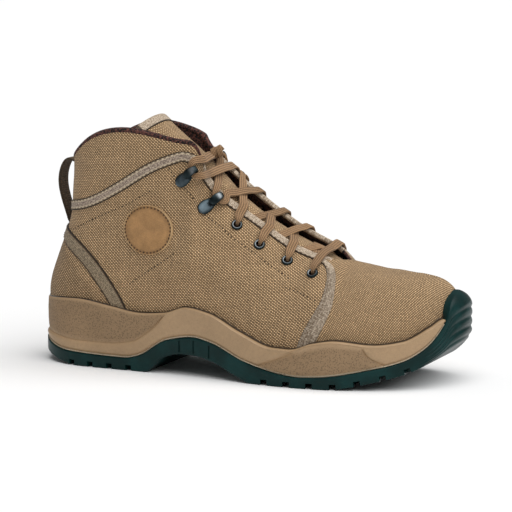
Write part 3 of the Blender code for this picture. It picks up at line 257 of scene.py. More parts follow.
# Loop at the heel: x and z of its middle line from the collar's edge down to the counter
LOOP = (
    (21.4, 137.2), (15.8, 138.4), (11.7, 133.8), (9.6, 126), (10.1, 117), (12.9, 107), (15.6, 99),
    (16.8, 95.8),
)
LOOP_WIDTH = 13.0
LOOP_THICKNESS = 1.6

# Eyelets and hooks of each side, from the collar down
EYELETS = {
    "lateral": table("x z", (150.4, 101), (167.5, 89), (187.3, 79.5), (206.7, 72.5)),
    "medial": table("x z", (150.4, 108), (167.5, 96), (187.3, 86.5), (206.7, 78)),
}
HOOKS = {
    "lateral": table("x z tip_x tip_z", (117.3, 131.2, 124.3, 135.8), (130, 113, 137, 120)),
    "medial": table("x z tip_x tip_z", (110, 135, 117, 142), (126, 121, 133.5, 128.5)),
}
HOOK_STEEL = 1.0


def smoothstep(t):
    """Soft rise from 0 to 1."""
    t = np.clip(t, 0.0, 1.0)
    return t * t * (3.0 - 2.0 * t)


def free_spline(knots, values):
    """Cubic spline with free ends through rows of values."""
    knots = np.asarray(knots, dtype=float)
    values = np.asarray(values, dtype=float)
    step = np.diff(knots)
    count = len(knots)
    matrix = np.eye(count)
    right = np.zeros_like(values)
    for i in range(1, count - 1):
        matrix[i, i - 1:i + 2] = step[i - 1], 2 * (step[i - 1] + step[i]), step[i]
        right[i] = 6 * ((values[i + 1] - values[i]) / step[i] - (values[i] - values[i - 1]) / step[i - 1])
    bend = np.linalg.solve(matrix, right)

    def at(t):
        t = np.asarray(t, dtype=float)
        i = np.clip(np.searchsorted(knots, t, side="right") - 1, 0, count - 2)
        h = step[i]
        a = (knots[i + 1] - t) / h
        b = (t - knots[i]) / h
        if values.ndim > 1:
            h, a, b = h[..., None], a[..., None], b[..., None]
        curve = a * values[i] + b * values[i + 1]
        return curve + ((a ** 3 - a) * bend[i] + (b ** 3 - b) * bend[i + 1]) * h ** 2 / 6

    return at


def through(rows, count):
    """Evenly counted points of the curve through rows."""
    return free_spline(np.arange(len(rows)), rows)(np.linspace(0, len(rows) - 1, count))


def columns_at(at, run, rows):
    """Every column of rows at places along their run."""
    return np.stack([np.interp(at, run, column) for column in np.transpose(rows)], axis=-1)


def sloped_curve(knots, values, slopes):
    """Cubic through values with a given slope at each, held beyond its ends."""

    def at(t):
        t = np.clip(np.asarray(t, dtype=float), knots[0], knots[-1])
        i = np.clip(np.searchsorted(knots, t, side="right") - 1, 0, len(knots) - 2)
        h = knots[i + 1] - knots[i]
        s = (t - knots[i]) / h
        if values.ndim > 1:
            h, s = h[..., None], s[..., None]
        low = values[i] * (1 + 2 * s) * (1 - s) ** 2 + slopes[i] * h * s * (1 - s) ** 2
        return low + values[i + 1] * s * s * (3 - 2 * s) + slopes[i + 1] * h * s * s * (s - 1)

    return at


def steady_curve(rows):
    """Curve of z over x that never swings past its rows, so flat stretches stay flat."""
    x = rows["x"]
    z = rows["z"]
    step = np.diff(x)
    grade = np.diff(z) / step
    slope = np.zeros(len(x))
    for i in range(1, len(x) - 1):
        if grade[i - 1] * grade[i] > 0:
            before = 2 * step[i] + step[i - 1]
            after = step[i] + 2 * step[i - 1]
            slope[i] = (before + after) / (before / grade[i - 1] + after / grade[i])
    slope[0] = grade[0]
    slope[-1] = grade[-1]
    return sloped_curve(x, z, slope)


tread_height = steady_curve(TREAD)
plate_height = steady_curve(PLATE)
lip_height = steady_curve(LIP)
rim_height = steady_curve(RIM)
floor_height = steady_curve(FLOOR)
heel_panel_height = steady_curve(HEEL_PANEL)
fore_panel_height = steady_curve(FORE_PANEL)


def outline_slopes():
    """Rim points of the sole in loop order, with the slopes of the closed cubic through them."""
    lateral = np.column_stack((OUTLINE["x"], -OUTLINE["lateral"]))
    medial = np.column_stack((OUTLINE["x"], OUTLINE["medial"]))
    points = np.vstack((lateral, medial[-2:0:-1]))
    count = len(points)
    matrix = 4 * np.eye(count) + np.roll(np.eye(count), 1, axis=0) + np.roll(np.eye(count), -1, axis=0)
    right = 3 * (np.roll(points, -1, axis=0) - np.roll(points, 1, axis=0))
    return points, np.linalg.solve(matrix, right)


RIM_POINTS, RIM_SLOPES = outline_slopes()


def outline(w):
    """Point of the sole's outline at station w, and the outward direction there."""
    w = np.mod(np.asarray(w, dtype=float), LOOP_STATIONS)
    i = np.floor(w).astype(int) % LOOP_STATIONS
    j = (i + 1) % LOOP_STATIONS
    s = (w - np.floor(w))[..., None]
    p, q, a, b = RIM_POINTS[i], RIM_POINTS[j], RIM_SLOPES[i], RIM_SLOPES[j]
    spot = p + a * s + (3 * (q - p) - 2 * a - b) * s ** 2 + (2 * (p - q) + a + b) * s ** 3
    along = a + 2 * (3 * (q - p) - 2 * a - b) * s + 3 * (2 * (p - q) + a + b) * s ** 2
    out = np.stack((along[..., 1], -along[..., 0]), axis=-1)
    return spot, out / np.linalg.norm(out, axis=-1, keepdims=True)


def mirrored(u, values, signs, at_toe):
    """Rows carried on past the heel, and past the toe if wanted, so curves run straight across."""
    u = np.concatenate((-u[2:0:-1], u))
    values = np.vstack((values[2:0:-1] * signs, values))
    if at_toe:
        u = np.concatenate((u, 2 * TOE_STATION - u[-2:-4:-1]))
        values = np.vstack((values, values[-2:-4:-1]))
    return u, values


def edge_spline(side):
    """Collar and throat edge of one side."""
    sign = -1.0 if side == "lateral" else 1.0
    rows = np.column_stack((TOP_EDGE["x_" + side], sign * TOP_EDGE[side], TOP_EDGE["z_" + side]))
    return free_spline(*mirrored(TOP_EDGE["u"], rows, np.array((1.0, -1.0, 1.0)), False))


EDGE_LATERAL = edge_spline("lateral")
EDGE_MEDIAL = edge_spline("medial")
RIDGE_ROWS = side_by_side(RIDGE, "x y z")
RIDGE_LINE = free_spline(
    np.concatenate((RIDGE["u"], 2 * TOE_STATION - RIDGE["u"][-2:-4:-1])),
    np.vstack((RIDGE_ROWS, RIDGE_ROWS[-2:-4:-1])),
)
SHAPE_ROWS = side_by_side(WALL_SHAPE, "rise bulge lean drop")
SHAPE_LINE = free_spline(*mirrored(WALL_SHAPE["u"], SHAPE_ROWS, np.ones(4), True))


def floats(*values):
    """Numbers as arrays of one shape."""
    return np.broadcast_arrays(*[np.asarray(value, dtype=float) for value in values])


def fold(w):
    """Station counted from the heel on either side, and which stations are medial."""
    w = np.mod(np.asarray(w, dtype=float), LOOP_STATIONS)
    medial = w > TOE_STATION
    return np.where(medial, LOOP_STATIONS - w, w), medial


def on_side(u, medial):
    """Station of a place counted from the heel on one side."""
    return LOOP_STATIONS - u if medial else u


def top_point(w):
    """Upper end of the wall: collar, throat edge or ridge."""
    u, medial = fold(w)
    edge = np.where(medial[..., None], EDGE_MEDIAL(u), EDGE_LATERAL(u))
    return np.where((u < THROAT_END)[..., None], edge, RIDGE_LINE(u))


def upper_point(w, v):
    """Outer surface of the upper."""
    w, v = floats(w, v)
    u, _ = fold(w)
    spot, out = outline(w)
    foot_xy = spot - out * FEATHER_INSET
    foot = np.concatenate((foot_xy, (floor_height(foot_xy[..., 0]) + CUP_GAP)[..., None]), axis=-1)
    top = top_point(w)
    rise, bulge, lean, drop = np.moveaxis(SHAPE_LINE(u), -1, 0)
    out3 = np.concatenate((out, np.zeros_like(out[..., :1])), axis=-1)
    up = np.array((0.0, 0.0, 1.0))
    low = foot + out3 * bulge[..., None] + up * rise[..., None]
    high = top + out3 * lean[..., None] - up * drop[..., None]
    t = v[..., None]
    s = 1.0 - t
    return foot * s ** 3 + low * 3 * s * s * t + high * 3 * s * t * t + top * t ** 3


def upper_slopes(w, v):
    """Directions along the rim and up the wall at a point of the upper."""
    v = np.clip(np.asarray(v, dtype=float), 0.004, 0.994)
    step = 0.003
    along = (upper_point(w + step, v) - upper_point(w - step, v)) / (2 * step)
    up = (upper_point(w, v + step) - upper_point(w, v - step)) / (2 * step)
    return along, up


def unit(vectors):
    """Vectors of length 1."""
    return vectors / np.linalg.norm(vectors, axis=-1, keepdims=True)


def upper_normal(w, v):
    """Outward direction of the wall."""
    along, up = upper_slopes(w, v)
    return unit(np.cross(along, up))


def level_at(w, z):
    """Place v up the wall that lies at height z."""
    w, z = floats(w, z)
    low = np.zeros_like(w)
    high = np.full_like(w, 0.98)
    for _ in range(40):
        middle = (low + high) / 2
        below = upper_point(w, middle)[..., 2] < z
        low = np.where(below, middle, low)
        high = np.where(below, high, middle)
    return (low + high) / 2


def find_on_upper(x, z, medial=False):
    """Station and level of the wall's point with a given x and z."""
    x, z = floats(x, z)
    u = np.interp(x, OUTLINE["x"], np.arange(TOE_STATION + 1))
    w = on_side(u, medial)
    v = level_at(w, z)
    for _ in range(12):
        miss = np.stack((x, z), axis=-1) - upper_point(w, v)[..., (0, 2)]
        along, up = upper_slopes(w, v)
        jacobian = np.stack((along[..., (0, 2)], up[..., (0, 2)]), axis=-1)
        step = np.linalg.solve(jacobian, miss[..., None])[..., 0]
        w = w + np.clip(step[..., 0], -0.3, 0.3)
        v = np.clip(v + np.clip(step[..., 1], -0.1, 0.1), 0.01, 0.99)
    return w, v


def step_on_upper(w, v, direction, distance):
    """Station and level a short way along the surface in a direction."""
    along, up = upper_slopes(w, v)
    basis = np.stack((along, up), axis=-1)
    normal_form = np.swapaxes(basis, -1, -2) @ basis
    wanted = np.swapaxes(basis, -1, -2) @ (direction * np.asarray(distance)[..., None])[..., None]
    move = np.linalg.solve(normal_form, wanted)[..., 0]
    return w + move[..., 0], np.clip(v + move[..., 1], 0.0, 1.0)


def wall_thickness(w, v):
    """Canvas wall, padded above the ankle tape."""
    u, _ = fold(w)
    padded = smoothstep((COLLAR_FRONT + 0.2 - u) / 0.7) * smoothstep((v - 0.5) / 0.22)
    rolled = 1.0 - 0.3 * smoothstep((v - 0.85) / 0.15)
    return WALL + (COLLAR_PAD * rolled - WALL) * padded


ORIGIN_X = (OUTLINE["x"][0] + OUTLINE["x"][-1]) / 2
RIM_TRACE = outline(np.linspace(0, LOOP_STATIONS, 521))[0]
ORIGIN_Y = (RIM_TRACE[:, 1].min() + RIM_TRACE[:, 1].max()) / 2


def place(points):
    """Millimetres in the shoe's tables to metres about the middle of the outline."""
    return (np.asarray(points, dtype=float) - np.array((ORIGIN_X, ORIGIN_Y, 0.0))) * MM


def tongue_line():
    """Rows along the tongue in the order of x, and its outward direction at each."""
    line = through(TONGUE, TONGUE_SECTIONS)
    along = unit(np.gradient(line[:, :2], axis=0))
    up = np.column_stack((along[:, 1], np.zeros(len(line)), -along[:, 0]))
    order = np.argsort(line[:, 0])
    return line[order], up[order]


TONGUE_LINE, TONGUE_UP = tongue_line()


def tongue_up(x):
    """Outward direction of the tongue at x."""
    return unit(columns_at(x, TONGUE_LINE[:, 0], TONGUE_UP))


def over_tongue(x, y, height):
    """Point a height above the tongue's outer face."""
    z, half, tilt, drop = columns_at(x, TONGUE_LINE[:, 0], TONGUE_LINE[:, 1:])
    lift = tilt * y - drop * (y / half) ** 2 + height
    return np.array((x, y, z)) + tongue_up(x) * lift


def lace_row(side, row):
    """Station and level of a lacing row: the eyelets from the toe up, then the hooks."""
    eyelets = EYELETS[side]
    hooks = HOOKS[side]
    x = np.concatenate((eyelets["x"][::-1], hooks["x"][::-1]))[row]
    z = np.concatenate((eyelets["z"][::-1], hooks["z"][::-1]))[row]
    w, v = find_on_upper(x, z, side == "medial")
    return float(w), float(v)


def other(side):
    """Side across from one."""
    return "medial" if side == "lateral" else "lateral"


def nearest_edge(side, spot):
    """Station of the throat's edge nearest to a point."""
    u = np.linspace(COLLAR_FRONT, THROAT_END, 300)
    w = on_side(u, side == "medial")
    return float(w[np.argmin(np.linalg.norm(top_point(w) - spot, axis=1))])


def edge_station(side, row, share):
    """Station of the throat's edge a share of the way from a row to the next one up."""
    start = nearest_edge(side, upper_point(*lace_row(side, row)))
    end = nearest_edge(side, upper_point(*lace_row(side, row + 1)))
    return start + (end - start) * share


def edge_shifted(edge, upwards):
    """Station of the throat's edge some millimetres further up it."""
    step = 0.01
    slope = (top_point(edge + step) - top_point(edge - step)) / (2 * step)
    return edge + np.sign(slope[2]) * upwards / np.linalg.norm(slope)


def turn_out(mesh, weld=0.0):
    """Faces of a mesh turned outwards, after points nearer than weld millimetres are joined."""
    form = bmesh.new()
    form.from_mesh(mesh)
    if weld:
        bmesh.ops.remove_doubles(form, verts=form.verts, dist=weld * MM)
    bmesh.ops.recalc_face_normals(form, faces=form.faces)
    form.to_mesh(mesh)
    form.free()


def link(name, data):
    """Object in the scene."""
    item = bpy.data.objects.new(name, data)
    bpy.context.scene.collection.objects.link(item)
    return item


def box_points(middle, along, across, up, size):
    """Corners of a turned box."""
    halves = product((-0.5, 0.5), repeat=3)
    return [middle + along * a * size[0] + across * b * size[1] + up * c * size[2] for a, b, c in halves]


BOX_FACES = ((0, 1, 3, 2), (4, 6, 7, 5), (0, 4, 5, 1), (2, 3, 7, 6), (0, 2, 6, 4), (1, 5, 7, 3))


def boxes_object(name, boxes):
    """Boxes for cutting, as one object."""
    mesh = bpy.data.meshes.new(name)
    faces = [[8 * k + i for i in face] for k in range(len(boxes)) for face in BOX_FACES]
    mesh.from_pydata(place(np.vstack(boxes)).tolist(), [], faces)
    turn_out(mesh)
    return link(name, mesh)


def half_width(x, side):
    """Half width of the sole at x."""
    return np.interp(x, OUTLINE["x"], OUTLINE[side])


def tread_box(x, y_from, y_to, turn):
    """Groove cutter across the tread at x, from one y to another, turned in plan by an angle."""
    slope = (tread_height(x + 2) - tread_height(x - 2)) / 4
    pitch = math.atan(slope)
    across = np.array((-math.sin(turn), math.cos(turn), 0.0))
    along = np.array((math.cos(turn) * math.cos(pitch), math.sin(turn), math.sin(pitch)))
    along = unit(along - across * np.dot(along, across))
    up = np.cross(along, across)
    depth = 2 * LUG_DEPTH
    middle = np.array((x, (y_from + y_to) / 2, float(tread_height(x))))
    return box_points(middle, along, across, up, (LUG_GROOVE, abs(y_to - y_from), depth))


FORE_LUGS_X = (180, 196, 212, 228, 244, 260, 275)
HEEL_LUGS_X = (33, 48, 63, 78)
FORE_MIDDLE_X = (185, 200, 215, 230)
HEEL_MIDDLE_X = (48, 66)
ARCH_RIBS_X = (117, 128, 140)
SIDES = (("lateral", -1), ("medial", 1))
SIDE_LUG_INNER = 0.52
LUG_RUN_OUT = 14.0
LUG_TURN = 0.28
# Long grooves: x and y where each starts, then where it ends
LONG_GROOVES = ((172, -23, 250, -19), (172, 20, 250, 25), (38, -17, 92, -18), (38, 17, 92, 16))
LONG_GROOVE = 0.8 * LUG_GROOVE
FORE_MIDDLE_HALF = 19
HEEL_MIDDLE_HALF = 15
ARCH_RIB_SHARE = 0.7


def groove_tools():
    """Cutters for side grooves, long grooves, middle grooves and the ribs of the arch."""
    side_boxes = []
    for places, turn in ((FORE_LUGS_X, LUG_TURN), (HEEL_LUGS_X, -LUG_TURN)):
        for x, (side, sign) in product(places, SIDES):
            reach = half_width(x, side)
            inner = sign * SIDE_LUG_INNER * reach
            side_boxes.append(tread_box(x, inner, sign * (reach + LUG_RUN_OUT), -sign * turn))
    long_boxes = []
    for groove in LONG_GROOVES:
        start = np.array((*groove[:2], 0.0))
        end = np.array((*groove[2:], 0.0))
        along = unit(end - start)
        up = np.array((0.0, 0.0, 1.0))
        size = (end[0] - start[0], LONG_GROOVE, 2 * LUG_DEPTH)
        long_boxes.append(box_points((start + end) / 2, along, np.cross(up, along), up, size))
    middle_boxes = []
    for places, half in ((FORE_MIDDLE_X, FORE_MIDDLE_HALF), (HEEL_MIDDLE_X, HEEL_MIDDLE_HALF)):
        middle_boxes += [tread_box(x, -half, half, 0.0) for x in places]
    rib_boxes = []
    for x, (side, sign) in product(ARCH_RIBS_X, SIDES):
        low = float(tread_height(x))
        high = float(lip_height(x))
        middle = np.array((x, sign * half_width(x, side), (low + high) / 2))
        size = (ARCH_RIB_GROOVE, 2 * ARCH_RIB_DEPTH, ARCH_RIB_SHARE * (high - low))
        rib_boxes.append(box_points(middle, *np.eye(3), size))
    return (
        boxes_object("cut_side_grooves", side_boxes),
        boxes_object("cut_long_grooves", long_boxes),
        boxes_object("cut_middle_grooves", middle_boxes),
        boxes_object("cut_arch_ribs", rib_boxes),
    )


def grid_faces(rows, columns, close_rows=False, close_columns=False):
    """Quads of a grid of points laid row by row."""
    a = np.arange(rows if close_rows else rows - 1)
    b = np.arange(columns if close_columns else columns - 1)
    i, j = np.meshgrid(a, b, indexing="ij")
    i_next = (i + 1) % rows
    j_next = (j + 1) % columns
    corners = (i * columns + j, i_next * columns + j, i_next * columns + j_next, i * columns + j_next)
    return np.stack(corners, axis=-1).reshape(-1, 4)


# Edges sharper than this many degrees stay sharp, unless a piece says otherwise
CREASE = 40.0


class Shapes:
    """Several closed shapes gathered into one mesh, with a cloth place in millimetres for every point."""

    def __init__(self):
        self.points = []
        self.faces = []
        self.cloth = []
        self.slots = []
        self.count = 0

    def add(self, points, faces, cloth, slot=0):
        """One more shape; without cloth places its points serve as them."""
        points = np.asarray(points, dtype=float).reshape(-1, 3)
        self.points.append(points)
        self.cloth.append(points if cloth is None else np.asarray(cloth, dtype=float).reshape(-1, 3))
        self.faces += [[int(i) + self.count for i in face] for face in faces]
        self.slots += [slot] * len(faces)
        self.count += len(points)

    def add_loft(self, rings, cloth, slot=0):
        """One more shape, through rings of points."""
        self.add(*loft(rings), cloth, slot)

    def piece(self, name, looks, slot, nodes=(), weld=0.0, crease=CREASE):
        """Piece on the root body, with its looks and the nodes that it stands for; its material slot is not
        used.
        """
        mesh = bpy.data.meshes.new(name)
        mesh.from_pydata(place(np.vstack(self.points)).tolist(), [], self.faces)
        layer = mesh.attributes.new("cloth", "FLOAT_VECTOR", "POINT")
        layer.data.foreach_set("vector", np.vstack(self.cloth).astype(np.float32).ravel())
        for look in looks:
            mesh.materials.append(LOOKS[look])
        mesh.polygons.foreach_set("material_index", np.array(self.slots, dtype=np.int32))
        turn_out(mesh, weld)
        mesh.shade_smooth()
        mesh.set_sharp_from_angle(angle=math.radians(crease))
        piece = link(name, mesh)
        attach(piece, "root")
        if nodes:
            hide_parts(*nodes)
        return piece


def loft(rings):
    """Points and faces of a solid through rings of points, capped at both ends."""
    rings = np.asarray(rings)
    count, size = rings.shape[:2]
    points = np.vstack((rings.reshape(-1, 3), rings[0].mean(axis=0), rings[-1].mean(axis=0)))
    faces = grid_faces(count, size, close_columns=True).tolist()
    last = (count - 1) * size
    for j in range(size):
        after = (j + 1) % size
        faces.append([after, j, count * size])
        faces.append([last + j, last + after, count * size + 1])
    return points, faces


def loft_cloth(along, across):
    """Cloth places for a capped loft: millimetres along it and across it."""
    along = np.asarray(along, dtype=float)
    across = np.broadcast_to(across, (len(along), np.shape(across)[-1]))
    rows = np.stack((np.broadcast_to(along[:, None], across.shape), across, np.zeros(across.shape)), axis=-1)
    ends = np.array(((along[0], 0.0, 0.0), (along[-1], 0.0, 0.0)))
    return np.vstack((rows.reshape(-1, 3), ends))


def two_faced(middle, height, up):
    """Ring of points a height above a row of points, and back below them."""
    step = np.outer(height, up)
    return np.vstack((middle + step, (middle - step)[::-1]))


def there_and_back(shares):
    """Shares across such a ring."""
    return np.concatenate((shares, shares[::-1]))


def run_length(points):
    """Length along a line of points up to each of them."""
    return np.concatenate(([0.0], np.cumsum(np.linalg.norm(np.diff(points, axis=0), axis=1))))


def even_line(w, v, step):
    """Stations and levels along a line on the wall, moved to even steps of some millimetres."""
    run = run_length(upper_point(w, v))
    at = np.linspace(0, run[-1], int(round(run[-1] / step)) + 1)
    return np.interp(at, run, w), np.interp(at, run, v)


def spaced(start, end, step, level=0.45):
    """Stations an even number of millimetres apart along the wall."""
    fine = np.linspace(start, end, 500)
    return even_line(fine, np.full(len(fine), level), step)[0]


def even_path(rows, step, medial):
    """Stations and levels an even number of millimetres apart along a curve through rows of u and v."""
    u, v = through(rows, 600).T
    return even_line(on_side(u, medial), v, step)


def beside(w, v, offset):
    """Path a few millimetres to one side of another along the canvas."""
    along = unit(np.gradient(upper_point(w, v), axis=0))
    across = unit(np.cross(upper_normal(w, v), along))
    return step_on_upper(w, v, across, np.broadcast_to(offset, len(w)))


# Canvas relief: seams, creases and the padded collar

# Front edge of the quarter, and the lines of pinholes, as stations and levels
QUARTER_FRONT = table(
    "u v",
    (7.55, 0.0), (7.69, 0.16), (7.82, 0.255), (7.92, 0.34), (7.98, 0.43), (7.975, 0.55), (7.94, 0.67),
    (7.87, 0.78), (7.78, 0.86), (7.64, 0.915), (7.45, 0.96), (7.40, 1.0),
)
PAD_SEAM = ((2.0, 0.598), (2.63, 0.605), (3.11, 0.621), (3.58, 0.654), (3.94, 0.702), (4.2, 0.745))
ANKLE_SEAM = ((3.78, 0.281), (3.99, 0.324), (4.34, 0.39), (4.74, 0.459))
CORNER_SEAM = ((7.06, 0.538), (7.29, 0.527), (7.52, 0.495), (7.74, 0.46))
EYESTAY_SEAM = (
    (4.56, 0.86), (4.91, 0.765), (5.27, 0.715), (5.7, 0.735), (6.01, 0.705), (6.3, 0.69), (6.6, 0.67),
    (6.9, 0.65), (7.11, 0.62),
)
# Creases as stations and levels with depth and half width in millimetres
CREASES = (
    (((3.9, 0.16), (4.4, 0.24), (5.0, 0.30), (5.6, 0.32)), -0.9, 7.0),
    (((4.2, 0.52), (4.7, 0.60), (5.1, 0.66), (5.35, 0.74)), -0.7, 5.0),
    (((5.2, 0.50), (5.7, 0.56), (6.1, 0.60)), -0.6, 5.0),
    (((6.3, 0.30), (6.8, 0.42), (7.2, 0.50)), -0.6, 6.0),
    (((1.2, 0.42), (2.2, 0.40), (3.0, 0.36)), -0.6, 6.0),
    (((8.3, 0.55), (8.9, 0.68), (9.2, 0.84)), -0.5, 5.0),
    (((9.2, 0.40), (10.0, 0.55), (10.6, 0.72)), -0.4, 6.0),
    (((4.6, 0.36), (5.2, 0.42), (5.8, 0.44)), 0.6, 6.0),
    (((7.0, 0.20), (7.3, 0.30), (7.5, 0.40)), 0.4, 5.0),
)
VAMP_SINK = 0.8
SEAM_DIP = 0.35
SEAM_REACH = 1.6
SEAM_STEP = 1.5
PAD_PUFF = 1.1
VAMP_EASE = 2.4
VAMP_EASE_FROM = 7.7
VAMP_EASE_TO = 11.0


SEAMS = (PAD_SEAM, ANKLE_SEAM, CORNER_SEAM, EYESTAY_SEAM)
SEAM_LINES = [
    (upper_point(*even_path(rows, SEAM_STEP, medial)), depth, reach)
    for rows, depth, reach in (*((rows, -SEAM_DIP, SEAM_REACH) for rows in SEAMS), *CREASES)
    for medial in (False, True)
]
TAPE_U = np.linspace(0, 5.2, 60)
TAPE_V = level_at(TAPE_U, free_spline(COLLAR_TAPE["u"], COLLAR_TAPE["z"][:, None])(TAPE_U)[:, 0])


def vamp_drop(u, v):
    """How far the vamp lies below the plain wall along its ridge."""
    eased = np.clip((u - VAMP_EASE_FROM) / (VAMP_EASE_TO - VAMP_EASE_FROM), 0.0, 1.0)
    return VAMP_EASE * np.sin(math.pi * eased ** 0.7) * smoothstep((v - 0.55) / 0.4)


def relief(w, v):
    """Height of the canvas over the plain wall."""
    u, _ = fold(w)
    spot = upper_point(w, v)
    past = u - np.interp(v, QUARTER_FRONT["v"], QUARTER_FRONT["u"])
    sunk = smoothstep(past / 0.05) * (1 - smoothstep(past / 0.75)) * smoothstep((0.99 - v) / 0.06)
    height = -VAMP_SINK * sunk
    for line, depth, reach in SEAM_LINES:
        flat = spot.reshape(-1, 3)
        gap = np.full(len(flat), 1e9)
        low = line.min(axis=0) - 3 * reach
        high = line.max(axis=0) + 3 * reach
        near = np.all((flat > low) & (flat < high), axis=1)
        if near.any():
            gap[near] = np.min(np.linalg.norm(flat[near][:, None] - line[None], axis=2), axis=1)
        height = height + depth * np.exp(-(gap.reshape(height.shape) / reach) ** 2)
    tape = np.interp(u, TAPE_U, TAPE_V)
    up_pad = np.clip((v - tape) / (1.0 - tape), 0.0, 1.0)
    height = height + PAD_PUFF * np.sin(math.pi * up_pad) ** 0.8 * smoothstep((5.0 - u) / 0.5)
    height = height - vamp_drop(u, v)
    x, y, z = np.moveaxis(spot, -1, 0)
    wander = np.sin(0.11 * x + 0.07 * z + 0.4) * np.sin(0.09 * z - 0.05 * x + 1.1)
    wander = wander + 0.5 * np.sin(0.23 * x - 0.19 * z + 0.08 * y)
    return height + 0.22 * wander * smoothstep((0.97 - v) / 0.1)


def skin(w, v, height=0.0):
    """Point a height above the canvas."""
    return upper_point(w, v) + upper_normal(w, v) * np.asarray(relief(w, v) + height)[..., None]


BAND_SUNK = 0.6
BAND_POINTS = 11


def add_strip(shapes, w, v, widths, hand=1.0, mark=0.0):
    """Raised tape along a path on the canvas, hand the side counted up."""
    widths = np.broadcast_to(widths, len(w))
    shares = np.linspace(-0.5, 0.5, BAND_POINTS)
    heights = np.append(TAPE_THICKNESS * (1 - 0.5 * np.abs(2 * shares) ** 8), (-BAND_SUNK, -BAND_SUNK))
    shares = np.append(shares, (0.5, -0.5))
    rows = [skin(*beside(w, v, widths * share), height) for share, height in zip(shares, heights)]
    cloth = loft_cloth(run_length(upper_point(w, v)), hand * np.min(widths) * shares)
    cloth[:len(w) * len(shares), 2] = np.repeat(np.broadcast_to(mark, len(w)), len(shares))
    shapes.add_loft(np.stack(rows, axis=1), cloth)


def stitch_row(shapes, w, v, length, radius, height, slot=0):
    """Stitches along a path of stations and levels, one for every two points of it."""
    spots = skin(w, v, height)
    normals = upper_normal(w, v)
    along = unit(np.gradient(spots, axis=0))
    for k in range(0, len(w), 2):
        add_stitch(shapes, spots[k], along[k], normals[k], length, radius, slot)


STITCH_RING = [(math.cos(a), math.sin(a)) for a in np.linspace(0, 2 * math.pi, 6, endpoint=False)]
STITCH_BOW = ((-0.5, 0.45, -0.5), (-0.25, 1.0, 0.1), (0.25, 1.0, 0.1), (0.5, 0.45, -0.5))


def add_stitch(shapes, spot, along, normal, length, radius, slot):
    """Short bowed stitch lying along a surface."""
    across = np.cross(normal, along)
    rings = []
    for share, swell, rise in STITCH_BOW:
        middle = spot + along * length * share + normal * radius * rise
        rings.append([middle + (across * a + normal * b) * radius * swell for a, b in STITCH_RING])
    shapes.add_loft(rings, None, slot)


# Cloth places: how the threads of each panel lie

def tie(matrix, start, end, pull):
    """Springs between pairs of points, added to a matrix."""
    np.add.at(matrix, (start, start), pull)
    np.add.at(matrix, (end, end), pull)
    np.add.at(matrix, (start, end), -pull)
    np.add.at(matrix, (end, start), -pull)


def solve_places(spots, normals, first):
    """Cloth places of a grid of points whose threads follow a direction, by least squares."""
    rows, columns = spots.shape[:2]
    second = np.cross(normals, first)
    number = np.arange(rows * columns).reshape(rows, columns)
    pairs = [(number[:-1].ravel(), number[1:].ravel()), (number[:, :-1].ravel(), number[:, 1:].ravel())]
    pairs.append((number[:-1, :-1].ravel(), number[1:, 1:].ravel()))
    start = np.concatenate([a for a, _ in pairs])
    end = np.concatenate([b for _, b in pairs])
    flat = spots.reshape(-1, 3)
    step = flat[end] - flat[start]
    size = rows * columns
    matrix = np.zeros((size, size))
    tie(matrix, start, end, 1.0)
    matrix[0, 0] += 1.0
    places = []
    for field in (first.reshape(-1, 3), second.reshape(-1, 3)):
        wanted = np.sum((field[start] + field[end]) / 2 * step, axis=1)
        right = np.zeros(size)
        np.add.at(right, end, wanted)
        np.add.at(right, start, -wanted)
        places.append(np.linalg.solve(matrix, right).reshape(rows, columns))
    return np.stack(places, axis=-1)


def lookup(grid, a_nodes, b_nodes, a, b):
    """Values of a grid between its nodes."""
    i = np.clip(np.searchsorted(a_nodes, a, side="right") - 1, 0, len(a_nodes) - 2)
    j = np.clip(np.searchsorted(b_nodes, b, side="right") - 1, 0, len(b_nodes) - 2)
    s = ((a - a_nodes[i]) / (a_nodes[i + 1] - a_nodes[i]))[..., None]
    t = ((b - b_nodes[j]) / (b_nodes[j + 1] - b_nodes[j]))[..., None]
    low = grid[i, j] * (1 - s) + grid[i + 1, j] * s
    high = grid[i, j + 1] * (1 - s) + grid[i + 1, j + 1] * s
    return low * (1 - t) + high * t


QUARTER_END = 8.2
QUARTER_W = np.linspace(-QUARTER_END, QUARTER_END, 115)
VAMP_START = 7.0
VAMP_W = np.linspace(VAMP_START, LOOP_STATIONS - VAMP_START, 97)
CLOTH_V = np.linspace(0.0, 1.0, 19)
VAMP_TURN = 38.0
QUARTER_TURN = 9.0
VAMP_CLOSER = 1.2
EASING_ROUNDS = 60
WELD_PULL = 100.0


def turn_places(places, degrees):
    """Cloth places with the threads turned."""
    c = math.cos(math.radians(degrees))
    s = math.sin(math.radians(degrees))
    x, y = places[..., 0], places[..., 1]
    return np.stack((x * c + y * s, y * c - x * s), axis=-1)


